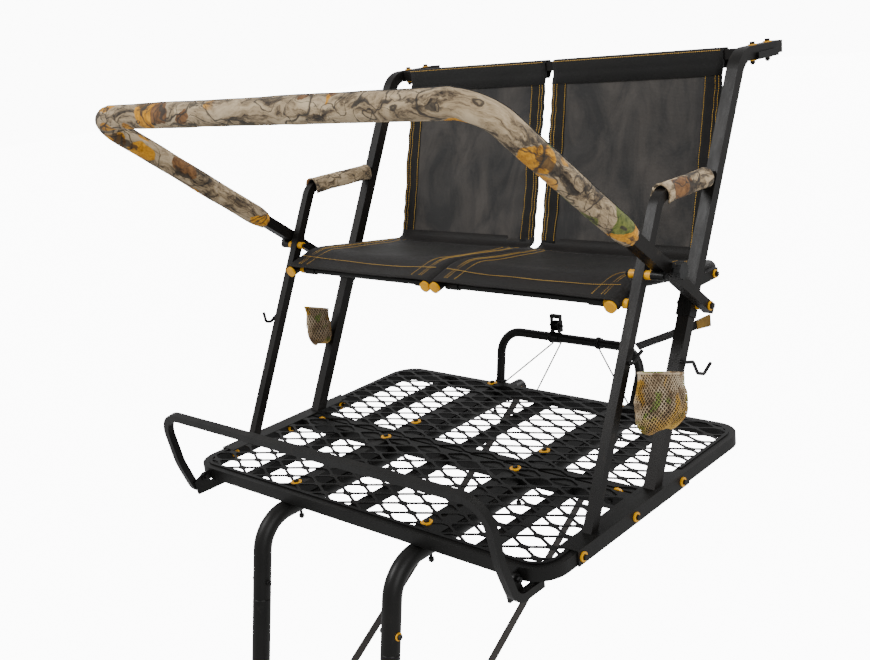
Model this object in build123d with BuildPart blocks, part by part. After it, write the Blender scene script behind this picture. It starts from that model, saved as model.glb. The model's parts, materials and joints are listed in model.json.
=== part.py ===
from build123d import *
from math import atan2, cos, radians, sin, tan
import os

os.makedirs("parts", exist_ok=True)

# Millimetres. Everything is drawn about the middle of the platform: +X is the sitter's left
# hand side seen from the front, +Y runs back towards the tree and +Z is up. write() then
# lifts each finished piece so that the origin is on the ground between the ladder's feet.
DECK_HEIGHT = 3520
DECK_BACK = 1265

# Platform
DECK_HALF_WIDTH = 635
DECK_FRONT = -424
DECK_REAR = 492
RIM = 32
RIM_WALL = 2
RIM_CORNER = 62
SEAM_FRONT = -3
SEAM_REAR = 5
RIB_X = 420
RIB = 25
BEAM = 38
MESH_THICK = 3
MESH_PITCH_X = 115
MESH_OPEN_X = 85
MESH_BOND = 16
MESH_HALF_WIDTH = 617
MESH_FRONT = -406
MESH_REAR = 474
MESH_CORNER = 60
MESH_EDGE = 9
DECK_BOLT_Y = (-367, -19, 110, 476)

# Ladder
RAIL_X = 239
RAIL = 48
RAIL_WALL = 2
RAIL_DROP = 0.3
RAIL_BEND = 100
RAIL_END_Y = 615
LEAN = 12.5
SEAM_Z = -245
LEAN_AT_SEAM_Y = -540
SPIGOT = 100
SECTIONS = 3
RUNGS = 12
RUNG_FIRST = 223
RUNG_PITCH = 273
RUNG = 25
FOOT = 54

# Side frames
ANGLE_FRONT = -310
ANGLE_REAR = 175
ANGLE = 4
ANGLE_INNER_X = 586
POST_X = 607.5
POST = 25
POST_SLOPE = 0.524
FRONT_POST_Y = -227.6
REAR_POST_X = 609.6
REAR_POST = 32
REAR_SLOPE = 0.529
REAR_POST_Y = 39.3
ARM_Z = 716
TOP_Z = 994
TOP_END_Y = 785
PAD = 48
PAD_X = 602
ARM_PAD_FRONT = {-1: 148, 1: 172}
ARM_PAD_REAR = 385

# Shooting rail
SHOOT_X = 650
PIVOT_Y = 274
PIVOT_Z = 422
SHOOT_ANGLE = 37.4
ARM = 25
SLEEVE = 32
SLEEVE_START = 205
FRONT_BAR = 982
RAIL_CORNER = 80
RAIL_PAD = 59
RAIL_PAD_START = {-1: 362, 1: 398}
STOP = 27

# Seats
SEAT_TUBE = 32
SEAT_OUTER_X = 565
SEAT_INNER_X = 17.5
SEAT_PATH = ((-8, 489), (95, 520), (455, 467))
CROSSBAR_YZ = (22, 489)
SEAT_BACK_YZ = (420, 461)
CLOTH = 4

# Footrest
FOOTREST_X = 575
FOOTREST = 20
FOOTREST_PIVOT = (-438, -6)

BOLT = 8
FIT = 0.3
STEEL = 2


def write(piece, name):
    """Label one finished piece and write it, measured from the ground under the ladder."""
    placed = piece.part.moved(Location((0, DECK_BACK, DECK_HEIGHT)))
    placed.label = name
    export_step(placed, f"parts/{name}.step")


def lean_point(along, x=0):
    """A point on the ladder's leaning centre line, measured down from the top seam."""
    return Vector(x, LEAN_AT_SEAM_Y - along * sin(radians(LEAN)), SEAM_Z - along * cos(radians(LEAN)))


def shoot_point(along, off=0, x=0):
    """A point on the shooting rail's slanted centre line, measured from its pivot."""
    turn = radians(SHOOT_ANGLE)
    return Vector(
        x,
        PIVOT_Y - along * cos(turn) + off * sin(turn),
        PIVOT_Z + along * sin(turn) + off * cos(turn),
    )


def front_post_y(z):
    return FRONT_POST_Y + POST_SLOPE * z


def rear_post_y(z):
    return REAR_POST_Y + REAR_SLOPE * z


def bar(start, end, wide, tall=None, wall=None, x_dir=None):
    """A straight square, flat or box-section bar between two points."""
    start = Vector(*start)
    end = Vector(*end)
    run = end - start
    side = Vector(*x_dir) if x_dir else (Vector(0, 1, 0) if abs(run.X) > run.length / 2 else Vector(1, 0, 0))
    tall = tall or wide
    with BuildPart() as piece:
        with BuildSketch(Plane(origin=start, x_dir=side, z_dir=run)):
            Rectangle(wide, tall)
            if wall:
                Rectangle(wide - 2 * wall, tall - 2 * wall, mode=Mode.SUBTRACT)
        extrude(amount=run.length)
    return piece.part


def rod(start, end, diameter, bore=0):
    """A straight round bar, or a tube or washer when it has a bore."""
    start = Vector(*start)
    run = Vector(*end) - start
    with BuildPart() as piece:
        with BuildSketch(Plane(origin=start, z_dir=run)):
            Circle(diameter / 2)
            if bore:
                Circle(bore / 2, mode=Mode.SUBTRACT)
        extrude(amount=run.length)
    return piece.part


def bent_tube(points, radii, wide, wall, round_section=False, side=(1, 0, 0)):
    """A square or round tube along straight runs joined by arcs."""
    with BuildPart() as piece:
        with BuildLine() as path:
            FilletPolyline(*points, radius=radii)
        start = path.line @ 0
        with BuildSketch(Plane(origin=start, x_dir=side, z_dir=path.line % 0)):
            if round_section:
                Circle(wide / 2)
                Circle(wide / 2 - wall, mode=Mode.SUBTRACT)
            else:
                Rectangle(wide, wide)
                Rectangle(wide - 2 * wall, wide - 2 * wall, mode=Mode.SUBTRACT)
        sweep()
    return piece.part


def bolt(head, tip, diameter=BOLT, head_tall=6, nut_tall=7):
    """A hexagon bolt from under its head to the far face of its nut."""
    head = Vector(*head)
    tip = Vector(*tip)
    run = tip - head
    with BuildPart() as piece:
        with BuildSketch(Plane(origin=head, z_dir=-run)):
            RegularPolygon(diameter * 0.92, 6)
        extrude(amount=head_tall)
        chamfer(piece.faces().sort_by(Axis(head, -run))[-1].edges(), 0.8)
        with BuildSketch(Plane(origin=head, z_dir=run)):
            Circle(diameter / 2)
        extrude(amount=run.length + 3)
        with BuildSketch(Plane(origin=tip, z_dir=-run)):
            RegularPolygon(diameter * 0.92, 6)
        extrude(amount=nut_tall)
    return piece.part


def screw(head, tip, diameter=BOLT, head_tall=6):
    """A hexagon screw that ends in a thread, or a plain stud when its head has no height."""
    run = Vector(*tip) - Vector(*head)
    with BuildPart() as piece:
        if head_tall:
            with BuildSketch(Plane(origin=head, z_dir=-run)):
                RegularPolygon(diameter * 0.92, 6)
            extrude(amount=head_tall)
        with BuildSketch(Plane(origin=head, z_dir=run)):
            Circle(diameter / 2)
        extrude(amount=run.length)
    return piece.part


def gather(solids, cuts=()):
    """One node made of several solids, with what passes through them cut away."""
    with BuildPart() as group:
        for solid in solids:
            add(solid)
        for cut in cuts:
            add(cut, mode=Mode.SUBTRACT)
    return group


def hole(start, end, diameter=BOLT + 2 * FIT):
    return rod(start, end, diameter)


def side_name(side):
    return "left" if side < 0 else "right"


# ---------------------------------------------------------------- holes that several pieces share

def deck_bolt_holes():
    return [
        hole((side * RAIL_X, y, -70), (side * RAIL_X, y, 30))
        for side in (-1, 1)
        for y in DECK_BOLT_Y
    ]


SIDE_BOLT_Y = (-293, -75, 142)


def side_bolt_holes():
    reach = DECK_HALF_WIDTH + 20
    return [
        hole((side * (reach - 60), y, 0), (side * reach, y, 0))
        for side in (-1, 1)
        for y in SIDE_BOLT_Y
    ]


SEAM_BOLT_X = (-540, 540)


def seam_holes():
    return [hole((x, -60, 0), (x, 60, 0)) for x in SEAM_BOLT_X]


# ---------------------------------------------------------------- platform

rim_x = DECK_HALF_WIDTH - RIM / 2
rim_holes = deck_bolt_holes() + side_bolt_holes()

front_path = [
    (-rim_x, SEAM_FRONT, 0),
    (-rim_x, DECK_FRONT + RIM / 2, 0),
    (rim_x, DECK_FRONT + RIM / 2, 0),
    (rim_x, SEAM_FRONT, 0),
]
rear_path = [
    (-rim_x, SEAM_REAR, 0),
    (-rim_x, DECK_REAR - RIM / 2, 0),
    (rim_x, DECK_REAR - RIM / 2, 0),
    (rim_x, SEAM_REAR, 0),
]
write(gather([bent_tube(front_path, RIM_CORNER, RIM, RIM_WALL)], rim_holes), "platform_front_rim")
write(gather([bent_tube(rear_path, RIM_CORNER, RIM, RIM_WALL)], rim_holes), "platform_rear_rim")

inner_x = DECK_HALF_WIDTH - RIM
front_cross = bar(
    (-inner_x, SEAM_FRONT - RIM / 2, 0), (inner_x, SEAM_FRONT - RIM / 2, 0), RIM, RIM, RIM_WALL
)
rear_cross = bar(
    (-inner_x, SEAM_REAR + RIM / 2, 0), (inner_x, SEAM_REAR + RIM / 2, 0), RIM, RIM, RIM_WALL
)
write(gather([front_cross, rear_cross], deck_bolt_holes() + seam_holes()), "platform_cross_tubes")

ribs = []
beams = []

for low, high in ((DECK_FRONT + RIM, SEAM_FRONT - RIM), (SEAM_REAR + RIM, DECK_REAR - RIM)):
    ribs += [bar((x, low, 0), (x, high, 0), RIB, RIB, RIM_WALL) for x in (-RIB_X, 0, RIB_X)]
    beams += [bar((side * RAIL_X, low, 0), (side * RAIL_X, high, 0), BEAM, RIM, RIM_WALL) for side in (-1, 1)]
write(gather(ribs), "platform_ribs")
write(gather(beams, deck_bolt_holes()), "platform_beams")


def mesh_sheet(low_y, high_y, rows):
    """Expanded-metal sheet: flattened hexagon cells, every second column set half a cell off."""
    pitch_y = (high_y - low_y) / rows
    columns = int(MESH_HALF_WIDTH / (MESH_PITCH_X / 2)) + 1
    open_y = pitch_y - MESH_BOND
    cells = [
        (column * MESH_PITCH_X / 2, low_y + (row + (column % 2) / 2) * pitch_y)
        for column in range(-columns, columns + 1)
        for row in range(rows + 1)
    ]
    tip = MESH_OPEN_X / 2
    middle = (MESH_FRONT + MESH_REAR) / 2
    length = MESH_REAR - MESH_FRONT
    with BuildSketch() as border:
        with Locations((0, middle)):
            RectangleRounded(2 * MESH_HALF_WIDTH, length, MESH_CORNER)
            RectangleRounded(
                2 * (MESH_HALF_WIDTH - MESH_EDGE),
                length - 2 * MESH_EDGE,
                MESH_CORNER - MESH_EDGE,
                mode=Mode.SUBTRACT,
            )
    with BuildPart() as sheet:
        with BuildSketch(Plane(origin=(0, 0, RIM / 2 + FIT))):
            with Locations((0, middle)):
                RectangleRounded(2 * MESH_HALF_WIDTH, length, MESH_CORNER)
            with Locations(*cells):
                Polygon(
                    (-tip, -3),
                    (-10, -open_y / 2),
                    (10, -open_y / 2),
                    (tip, -3),
                    (tip, 3),
                    (10, open_y / 2),
                    (-10, open_y / 2),
                    (-tip, 3),
                    mode=Mode.SUBTRACT,
                )
            add(border.sketch)
            with Locations((0, (low_y + high_y) / 2)):
                Rectangle(2 * MESH_HALF_WIDTH, high_y - low_y, mode=Mode.INTERSECT)
            for side in (-1, 1):
                with Locations((side * (ANGLE_INNER_X + 50), (ANGLE_FRONT + ANGLE_REAR) / 2)):
                    Rectangle(100, ANGLE_REAR - ANGLE_FRONT + 2, mode=Mode.SUBTRACT)
                with Locations(*[(side * RAIL_X, y) for y in DECK_BOLT_Y]):
                    Circle(17, mode=Mode.SUBTRACT)
        extrude(amount=MESH_THICK)
    return sheet


write(mesh_sheet(MESH_FRONT, SEAM_FRONT, 7), "platform_front_mesh")
write(mesh_sheet(SEAM_REAR, MESH_REAR, 9), "platform_rear_mesh")

deck_bolts = []
deck_washers = []
for side in (-1, 1):
    for y in DECK_BOLT_Y:
        x = side * RAIL_X
        top = RIM / 2
        deck_bolts.append(bolt((x, y, top + 3), (x, y, -RIM / 2 - RAIL - 22), nut_tall=9))
        deck_washers.append(rod((x, y, top), (x, y, top + 3), 30, BOLT + 2 * FIT))
for x in SEAM_BOLT_X:
    deck_bolts.append(bolt((x, SEAM_FRONT - RIM, 0), (x, SEAM_REAR + RIM + 8, 0)))
    deck_washers.append(rod((x, SEAM_FRONT, 0), (x, SEAM_REAR, 0), 38, BOLT + 2 * FIT))
write(gather(deck_bolts), "platform_bolts")
write(gather(deck_washers), "platform_washers")

# ---------------------------------------------------------------- ladder

rail_axis_z = -RIM / 2 - RAIL / 2 - RAIL_DROP
bend_y = LEAN_AT_SEAM_Y + (rail_axis_z - SEAM_Z) * tan(radians(LEAN))
ARCH_BOLT_Y = 540
BRACE_TOP_Y = 592
BRACE_FOOT = 565
JOINT_BOLT = 46

brace_foot = lean_point(BRACE_FOOT)


def joint_bolt_at(section):
    """The cross bolt just above the joint that tops this ladder section, numbered from the top."""
    return lean_point(section * section_length - JOINT_BOLT)


section_length = (DECK_HEIGHT + SEAM_Z - 11) / cos(radians(LEAN)) / SECTIONS


def joint_holes():
    cuts = []
    for section in range(SECTIONS):
        at = joint_bolt_at(section)
        cuts += [
            hole((side * (RAIL_X - 40), at.Y, at.Z), (side * (RAIL_X + 40), at.Y, at.Z))
            for side in (-1, 1)
        ]
    return cuts


def frame_cross_holes():
    """Holes along X for the arch bolts, the brace bolts and the brace feet."""
    spots = ((ARCH_BOLT_Y, rail_axis_z), (BRACE_TOP_Y, rail_axis_z), (brace_foot.Y, brace_foot.Z))
    return [
        hole((side * (RAIL_X - 60), y, z), (side * (RAIL_X + 60), y, z))
        for side in (-1, 1)
        for y, z in spots
    ]


top_tubes = []
ladder_caps = []
for side in (-1, 1):
    x = side * RAIL_X
    path = [(x, RAIL_END_Y, rail_axis_z), (x, bend_y, rail_axis_z), lean_point(0, x)]
    top_tubes.append(bent_tube(path, RAIL_BEND, RAIL, RAIL_WALL, round_section=True))
    ladder_caps.append(rod((x, RAIL_END_Y, rail_axis_z), (x, RAIL_END_Y + 5, rail_axis_z), RAIL))
write(gather(top_tubes, deck_bolt_holes() + frame_cross_holes() + joint_holes()), "ladder_top_tubes")


def ladder_rail(side, section):
    """One rail with a plain socket below and a narrower spigot above."""
    x = side * RAIL_X
    low = lean_point((section + 1) * section_length, x)
    up = lean_point(section * section_length, x) - low
    outer = RAIL / 2
    inner = outer - RAIL_WALL
    slim = inner - FIT
    length = up.length
    with BuildPart() as rail:
        with BuildSketch(Plane(origin=low, x_dir=(1, 0, 0), z_dir=Vector(0, -up.Z, up.Y))):
            Polygon(
                (inner, 0),
                (outer, 0),
                (outer, length - 4),
                (slim, length),
                (slim, length + SPIGOT),
                (slim - RAIL_WALL, length + SPIGOT),
                (slim - RAIL_WALL, length - 3),
                (inner, length - 8),
                align=None,
            )
        revolve(axis=Axis(low, up))
    return rail.part


for section, name in enumerate(("upper", "middle", "lower")):
    rails = [ladder_rail(side, section) for side in (-1, 1)]
    write(gather(rails, joint_holes() + frame_cross_holes()), f"ladder_{name}_rails")


def ladder_rung(along):
    """A box-section rung, its ends shaped to the round rails."""
    at = lean_point(along, -RAIL_X)
    down = lean_point(1) - lean_point(0)
    with BuildPart() as rung:
        with BuildSketch(Plane(origin=at, x_dir=down, z_dir=(1, 0, 0))):
            RectangleRounded(RUNG, RUNG, 4)
            RectangleRounded(RUNG - 3, RUNG - 3, 2.5, mode=Mode.SUBTRACT)
        extrude(amount=2 * RAIL_X)
        for side in (-1, 1):
            x = side * RAIL_X
            add(rod(lean_point(along - 60, x), lean_point(along + 60, x), RAIL), mode=Mode.SUBTRACT)
    return rung.part


write(gather([ladder_rung(RUNG_FIRST + step * RUNG_PITCH) for step in range(RUNGS)]), "ladder_rungs")

ladder_bolts = []
ladder_washers = []
for section in range(SECTIONS):
    at = joint_bolt_at(section)
    for side in (-1, 1):
        near = side * (RAIL_X + RAIL / 2)
        far = side * (RAIL_X - RAIL / 2)
        ladder_bolts.append(bolt((near + side * 3, at.Y, at.Z), (far - side * 7, at.Y, at.Z)))
        ladder_washers.append(rod((near, at.Y, at.Z), (near + side * 3, at.Y, at.Z), 20, BOLT + 2 * FIT))
for side in (-1, 1):
    x = side * RAIL_X
    bottom = SECTIONS * section_length
    with BuildPart() as foot:
        add(rod(lean_point(bottom - 60, x), lean_point(bottom + 30, x), FOOT))
        add(rod(lean_point(bottom - 70, x), lean_point(bottom, x), RAIL + 2 * FIT), mode=Mode.SUBTRACT)
        split(bisect_by=Plane.XY.offset(-DECK_HEIGHT), keep=Keep.TOP)
    ladder_caps.append(foot.part)
write(gather(ladder_caps), "ladder_feet_and_caps")

# ---------------------------------------------------------------- braces and tree bar

BRACE_WIDE = 27
BRACE_THICK = 4
BRACE_GAP = 4.9
braces = []
for side in (-1, 1):
    x = side * (RAIL_X - RAIL / 2 - BRACE_GAP - BRACE_THICK / 2)
    top = Vector(x, BRACE_TOP_Y, rail_axis_z)
    foot = Vector(x, brace_foot.Y, brace_foot.Z)
    run = (top - foot).normalized()
    with BuildPart() as brace:
        with BuildSketch(Plane(origin=(top + foot) / 2 - Vector(side * BRACE_THICK / 2, 0, 0), x_dir=run,
                               z_dir=(side, 0, 0))):
            SlotCenterToCenter((top - foot).length, BRACE_WIDE)
        extrude(amount=BRACE_THICK)
        for cut in frame_cross_holes():
            add(cut, mode=Mode.SUBTRACT)
    braces.append(brace.part)
write(gather(braces), "braces")

ARCH_X = 250
ARCH_TUBE = 28
ARCH_TOP_Z = 170
ARCH_FLARE = 36
ARCH_LEAN = 0.204
SADDLE = 4
saddle_top = rail_axis_z + RAIL / 2 + FIT + SADDLE


def arch_y(z):
    return ARCH_BOLT_Y - 12 + ARCH_LEAN * (z - saddle_top)


arch_path = [
    (-ARCH_X, arch_y(saddle_top - 20), saddle_top - 20),
    (-ARCH_X, arch_y(ARCH_TOP_Z), ARCH_TOP_Z),
    (ARCH_X + ARCH_FLARE, arch_y(ARCH_TOP_Z), ARCH_TOP_Z),
    (ARCH_X, arch_y(saddle_top - 20), saddle_top - 20),
]
with BuildPart() as arch:
    add(bent_tube(arch_path, 75, ARCH_TUBE, RAIL_WALL, round_section=True))
    split(bisect_by=Plane.XY.offset(saddle_top), keep=Keep.TOP)
write(arch, "tree_bar_arch")

saddles = []
for side in (-1, 1):
    half = RAIL / 2 + FIT
    with BuildPart() as saddle:
        with BuildSketch(Plane.XZ.offset(-ARCH_BOLT_Y + 25)):
            with Locations((side * RAIL_X, (saddle_top + rail_axis_z - 16) / 2)):
                Rectangle(2 * half + 2 * SADDLE, saddle_top - rail_axis_z + 16)
            with Locations((side * RAIL_X, (saddle_top - SADDLE + rail_axis_z - 40) / 2)):
                Rectangle(2 * half, saddle_top - SADDLE - rail_axis_z + 40, mode=Mode.SUBTRACT)
        extrude(amount=-50)
        for cut in frame_cross_holes():
            add(cut, mode=Mode.SUBTRACT)
    saddles.append(saddle.part)
    outer = side * (RAIL_X + half + SADDLE)
    inner = side * (RAIL_X - half - SADDLE)
    bolt_end = inner - side * 12
    ladder_bolts.append(bolt((outer, ARCH_BOLT_Y, rail_axis_z), (bolt_end, ARCH_BOLT_Y, rail_axis_z)))
    ladder_washers.append(
        rod(
            (inner, ARCH_BOLT_Y, rail_axis_z),
            (inner - side * 4, ARCH_BOLT_Y, rail_axis_z),
            24,
            BOLT + 2 * FIT,
        )
    )
    brace_in = side * (RAIL_X - RAIL / 2 - BRACE_GAP - BRACE_THICK)
    tube_in = side * (RAIL_X - RAIL / 2)
    brace_out = side * (RAIL_X + RAIL / 2)
    for y, z in ((BRACE_TOP_Y, rail_axis_z), (brace_foot.Y, brace_foot.Z)):
        ladder_bolts.append(bolt((brace_out, y, z), (brace_in - side * 8, y, z)))
        ladder_washers.append(rod((tube_in, y, z), (tube_in - side * BRACE_GAP, y, z), 22, BOLT + 2 * FIT))
write(gather(saddles), "tree_bar_saddles")
write(gather(ladder_bolts), "ladder_bolts")
write(gather(ladder_washers), "ladder_washers")

# ---------------------------------------------------------------- side frames

angle_top = RIM / 2 + ANGLE
angles = []

for side in (-1, 1):
    outer = DECK_HALF_WIDTH + ANGLE
    with BuildPart() as angle:
        with BuildSketch(Plane.XZ.offset(-ANGLE_FRONT)):
            with BuildLine():
                Polyline(
                    (side * outer, angle_top),
                    (side * ANGLE_INNER_X, angle_top),
                    (side * ANGLE_INNER_X, RIM / 2),
                    (side * DECK_HALF_WIDTH, RIM / 2),
                    (side * DECK_HALF_WIDTH, -18),
                    (side * outer, -18),
                    close=True,
                )
            make_face()
        extrude(amount=ANGLE_FRONT - ANGLE_REAR)
        with BuildSketch(Plane.XY.offset(RIM / 2)):
            with BuildLine():
                Polyline(
                    (side * ANGLE_INNER_X, ANGLE_REAR),
                    (side * ANGLE_INNER_X, ANGLE_REAR - 45),
                    (side * (outer - ANGLE), ANGLE_REAR),
                    close=True,
                )
            make_face()
        extrude(amount=ANGLE, mode=Mode.SUBTRACT)
        for cut in side_bolt_holes():
            add(cut, mode=Mode.SUBTRACT)
    angles.append(angle.part)
write(gather(angles), "side_angles")

SHOOT_STOP = shoot_point(247, -STOP)
stop_holes = [
    hole((side * 570, SHOOT_STOP.Y, SHOOT_STOP.Z), (side * 680, SHOOT_STOP.Y, SHOOT_STOP.Z))
    for side in (-1, 1)
]
PIVOT_BOLT = 10
pivot_holes = [
    hole((side * 560, PIVOT_Y, PIVOT_Z), (side * 640, PIVOT_Y, PIVOT_Z), PIVOT_BOLT + 2 * FIT)
    for side in (-1, 1)
]
seat_front_holes = [
    hole((side * 500, CROSSBAR_YZ[0], CROSSBAR_YZ[1]), (side * 640, CROSSBAR_YZ[0], CROSSBAR_YZ[1]))
    for side in (-1, 1)
]
TOP_BOLT_Y = (645, 730)
top_holes = [
    hole((side * REAR_POST_X, y, TOP_Z - 60), (side * REAR_POST_X, y, TOP_Z + 60))
    for side in (-1, 1)
    for y in TOP_BOLT_Y
]
rear_lean = atan2(REAR_SLOPE, 1)
rear_front_plane = Plane(
    origin=(0, rear_post_y(ARM_Z) - REAR_POST / 2 / cos(rear_lean), ARM_Z),
    x_dir=(1, 0, 0),
    z_dir=(0, cos(rear_lean), -sin(rear_lean)),
)

for side in (-1, 1):
    x = side * POST_X
    path = [
        (x, front_post_y(-40), -40),
        (x, front_post_y(ARM_Z), ARM_Z),
        (x, rear_post_y(ARM_Z) + 60, ARM_Z),
    ]
    with BuildPart() as front_post:
        add(bent_tube(path, 48, POST, STEEL))
        split(bisect_by=Plane.XY.offset(angle_top), keep=Keep.TOP)
        split(bisect_by=rear_front_plane, keep=Keep.BOTTOM)
        for cut in stop_holes + seat_front_holes:
            add(cut, mode=Mode.SUBTRACT)
    write(front_post, f"front_post_{side_name(side)}")

    x = side * REAR_POST_X
    path = [
        (x, rear_post_y(-40), -40),
        (x, rear_post_y(TOP_Z), TOP_Z),
        (x, TOP_END_Y, TOP_Z),
    ]
    with BuildPart() as rear_post:
        add(bent_tube(path, 72, REAR_POST, STEEL))
        split(bisect_by=Plane.XY.offset(angle_top), keep=Keep.TOP)
        for cut in pivot_holes + top_holes:
            add(cut, mode=Mode.SUBTRACT)
    write(rear_post, f"rear_post_{side_name(side)}")

    pad_front = ARM_PAD_FRONT[side]
    pad_rear = ARM_PAD_REAR
    with BuildPart() as pad:
        with BuildSketch(Plane.XZ.offset(-pad_front)):
            with Locations((side * PAD_X, ARM_Z)):
                Circle(PAD / 2)
            with Locations((side * POST_X, ARM_Z + POST / 2 + FIT - 30)):
                Rectangle(POST + 2 * FIT, 60, mode=Mode.SUBTRACT)
        extrude(amount=pad_front - pad_rear)
    write(pad, f"armrest_pad_{side_name(side)}")

side_bolts = []
side_washers = []
for side in (-1, 1):
    for y in SIDE_BOLT_Y:
        outer = side * (DECK_HALF_WIDTH + ANGLE)
        inner = side * inner_x
        side_bolts.append(bolt((outer + side * 4, y, 0), (inner - side * 12, y, 0)))
        side_washers.append(rod((outer, y, 0), (outer + side * 4, y, 0), 24, BOLT + 2 * FIT))
        side_washers.append(rod((inner, y, 0), (inner - side * 4, y, 0), 24, BOLT + 2 * FIT))

# ---------------------------------------------------------------- top cross bar and its brackets

top_inner = REAR_POST_X - REAR_POST / 2
write(gather([bar((-top_inner, 612, TOP_Z), (top_inner, 612, TOP_Z), POST, POST, STEEL)]), "top_crossbar")

brackets = []
arm_low = TOP_Z - REAR_POST / 2
for side in (-1, 1):
    with BuildPart() as bracket:
        with BuildSketch(Plane.XZ.offset(-632)):
            with BuildLine():
                Polyline(
                    (side * (REAR_POST_X + 20), arm_low),
                    (side * (REAR_POST_X - 20), arm_low),
                    (side * (REAR_POST_X - 20), arm_low + 14),
                    (side * (REAR_POST_X - 24), arm_low + 14),
                    (side * (REAR_POST_X - 24), arm_low - 4),
                    (side * (REAR_POST_X + 24), arm_low - 4),
                    (side * (REAR_POST_X + 24), arm_low + 14),
                    (side * (REAR_POST_X + 20), arm_low + 14),
                    close=True,
                )
            make_face()
        extrude(amount=-115)
        for cut in top_holes:
            add(cut, mode=Mode.SUBTRACT)
    brackets.append(bracket.part)
    for y in TOP_BOLT_Y:
        x = side * REAR_POST_X
        top = TOP_Z + REAR_POST / 2
        low = arm_low - 4
        side_bolts.append(bolt((x, y, top + 3), (x, y, low - 10)))
        side_washers.append(rod((x, y, top), (x, y, top + 3), 22, BOLT + 2 * FIT))
        side_washers.append(rod((x, y, low), (x, y, low - 3), 22, BOLT + 2 * FIT))
write(gather(brackets), "top_brackets")

# ---------------------------------------------------------------- seats

tube_cuts = []
for y, z in (CROSSBAR_YZ, SEAT_BACK_YZ):
    tube_cuts.append(hole((-600, y, z), (600, y, z)))

CROSSBAR = 19
tube_r = SEAT_TUBE / 2


def seat_profile(rise):
    """The seat's side line lifted square to the tubes, as three points of (y, z)."""
    front, crown, back = [Vector(0, y, z) for y, z in SEAT_PATH]
    first = (crown - front).normalized()
    second = (back - crown).normalized()
    up_first = Vector(0, -first.Z, first.Y)
    up_second = Vector(0, -second.Z, second.Y)
    middle = (up_first + up_second).normalized()
    spread = rise / middle.dot(up_first)
    return front + up_first * rise, crown + middle * spread, back + up_second * rise


back_foot = (471.8, 505)
back_head = (608.6, 996)
tubes = []
crossbars = []
for side in (-1, 1):
    name = side_name(side)
    for x in (side * SEAT_OUTER_X, side * SEAT_INNER_X):
        path = [(x, y, z) for y, z in SEAT_PATH]
        tubes.append(bent_tube(path, 160, SEAT_TUBE, STEEL, round_section=True))

    inner = SEAT_INNER_X + tube_r
    outer = SEAT_OUTER_X - tube_r
    for y, z in (CROSSBAR_YZ, SEAT_BACK_YZ):
        with BuildPart() as crossbar:
            with BuildSketch(Plane(origin=(side * (inner + 8), y, z), z_dir=(side, 0, 0))):
                Circle(CROSSBAR / 2)
            extrude(amount=outer - inner - 26)
            with BuildSketch(Plane(origin=(side * (inner + 0.5), y, z), z_dir=(side, 0, 0))):
                Circle(CROSSBAR / 2 + 3)
            extrude(amount=44)
            with BuildSketch(Plane(origin=(side * (outer - 62), y, z), z_dir=(side, 0, 0))):
                Circle(CROSSBAR / 2 + 3)
            extrude(amount=44)
            with BuildSketch(Plane(origin=(side * inner, y, z), z_dir=(side, 0, 0))):
                Circle(BOLT / 2 + FIT)
            extrude(amount=outer - inner, mode=Mode.SUBTRACT)
        crossbars.append(crossbar.part)

    lift = tube_r + FIT
    low = seat_profile(lift)
    high = seat_profile(lift + CLOTH)
    with BuildPart() as seat_sling:
        with BuildSketch(Plane.YZ.offset(side * 2)):
            with BuildLine():
                Polyline(
                    (low[0].Y, low[0].Z),
                    (low[1].Y, low[1].Z),
                    (low[2].Y, low[2].Z),
                    (high[2].Y, high[2].Z),
                    (high[1].Y, high[1].Z),
                    (high[0].Y, high[0].Z),
                    close=True,
                )
            make_face()
        extrude(amount=side * 581)
    write(seat_sling, f"seat_sling_{name}")

    run = Vector(0, back_head[0] - back_foot[0], back_head[1] - back_foot[1]).normalized()
    out = Vector(0, -run.Z, run.Y)
    start = Vector(0, back_foot[0], back_foot[1])
    finish = Vector(0, back_head[0], back_head[1]) - run * 2
    corners = [start - out * 2, finish - out * 2, finish + out * 2, start + out * 2]
    with BuildPart() as back_sling:
        with BuildSketch(Plane.YZ.offset(side * 12)):
            Polygon(*[(c.Y, c.Z) for c in corners], align=None)
        extrude(amount=side * 542)
        add(bar((-700, 612, TOP_Z), (700, 612, TOP_Z), POST + 2 * FIT), mode=Mode.SUBTRACT)
    write(back_sling, f"back_sling_{name}")
write(gather(tubes, tube_cuts), "seat_tubes")
write(gather(crossbars), "seat_crossbars")

end_caps = []
end_plugs = []
front_y, front_z = SEAT_PATH[0]
slope = (SEAT_PATH[1][1] - front_z) / (SEAT_PATH[1][0] - front_y)
back_slope = (SEAT_PATH[2][1] - SEAT_PATH[1][1]) / (SEAT_PATH[2][0] - SEAT_PATH[1][0])
for side in (-1, 1):
    for x in (side * SEAT_OUTER_X, side * SEAT_INNER_X):
        end_caps.append(
            rod((x, front_y, front_z), (x, front_y - 7, front_z - 7 * slope), SEAT_TUBE - 1)
        )
        y, z = SEAT_PATH[2]
        with BuildPart() as plug:
            with BuildSketch(Plane(origin=(x, y, z), z_dir=(0, 1, back_slope))):
                Circle(tube_r)
            extrude(amount=10)
            fillet(plug.faces().sort_by(Axis.Y)[-1].edges(), 4)
        end_plugs.append(plug.part)
write(gather(end_caps), "seat_end_caps")
write(gather(end_plugs), "seat_end_plugs")

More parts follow.
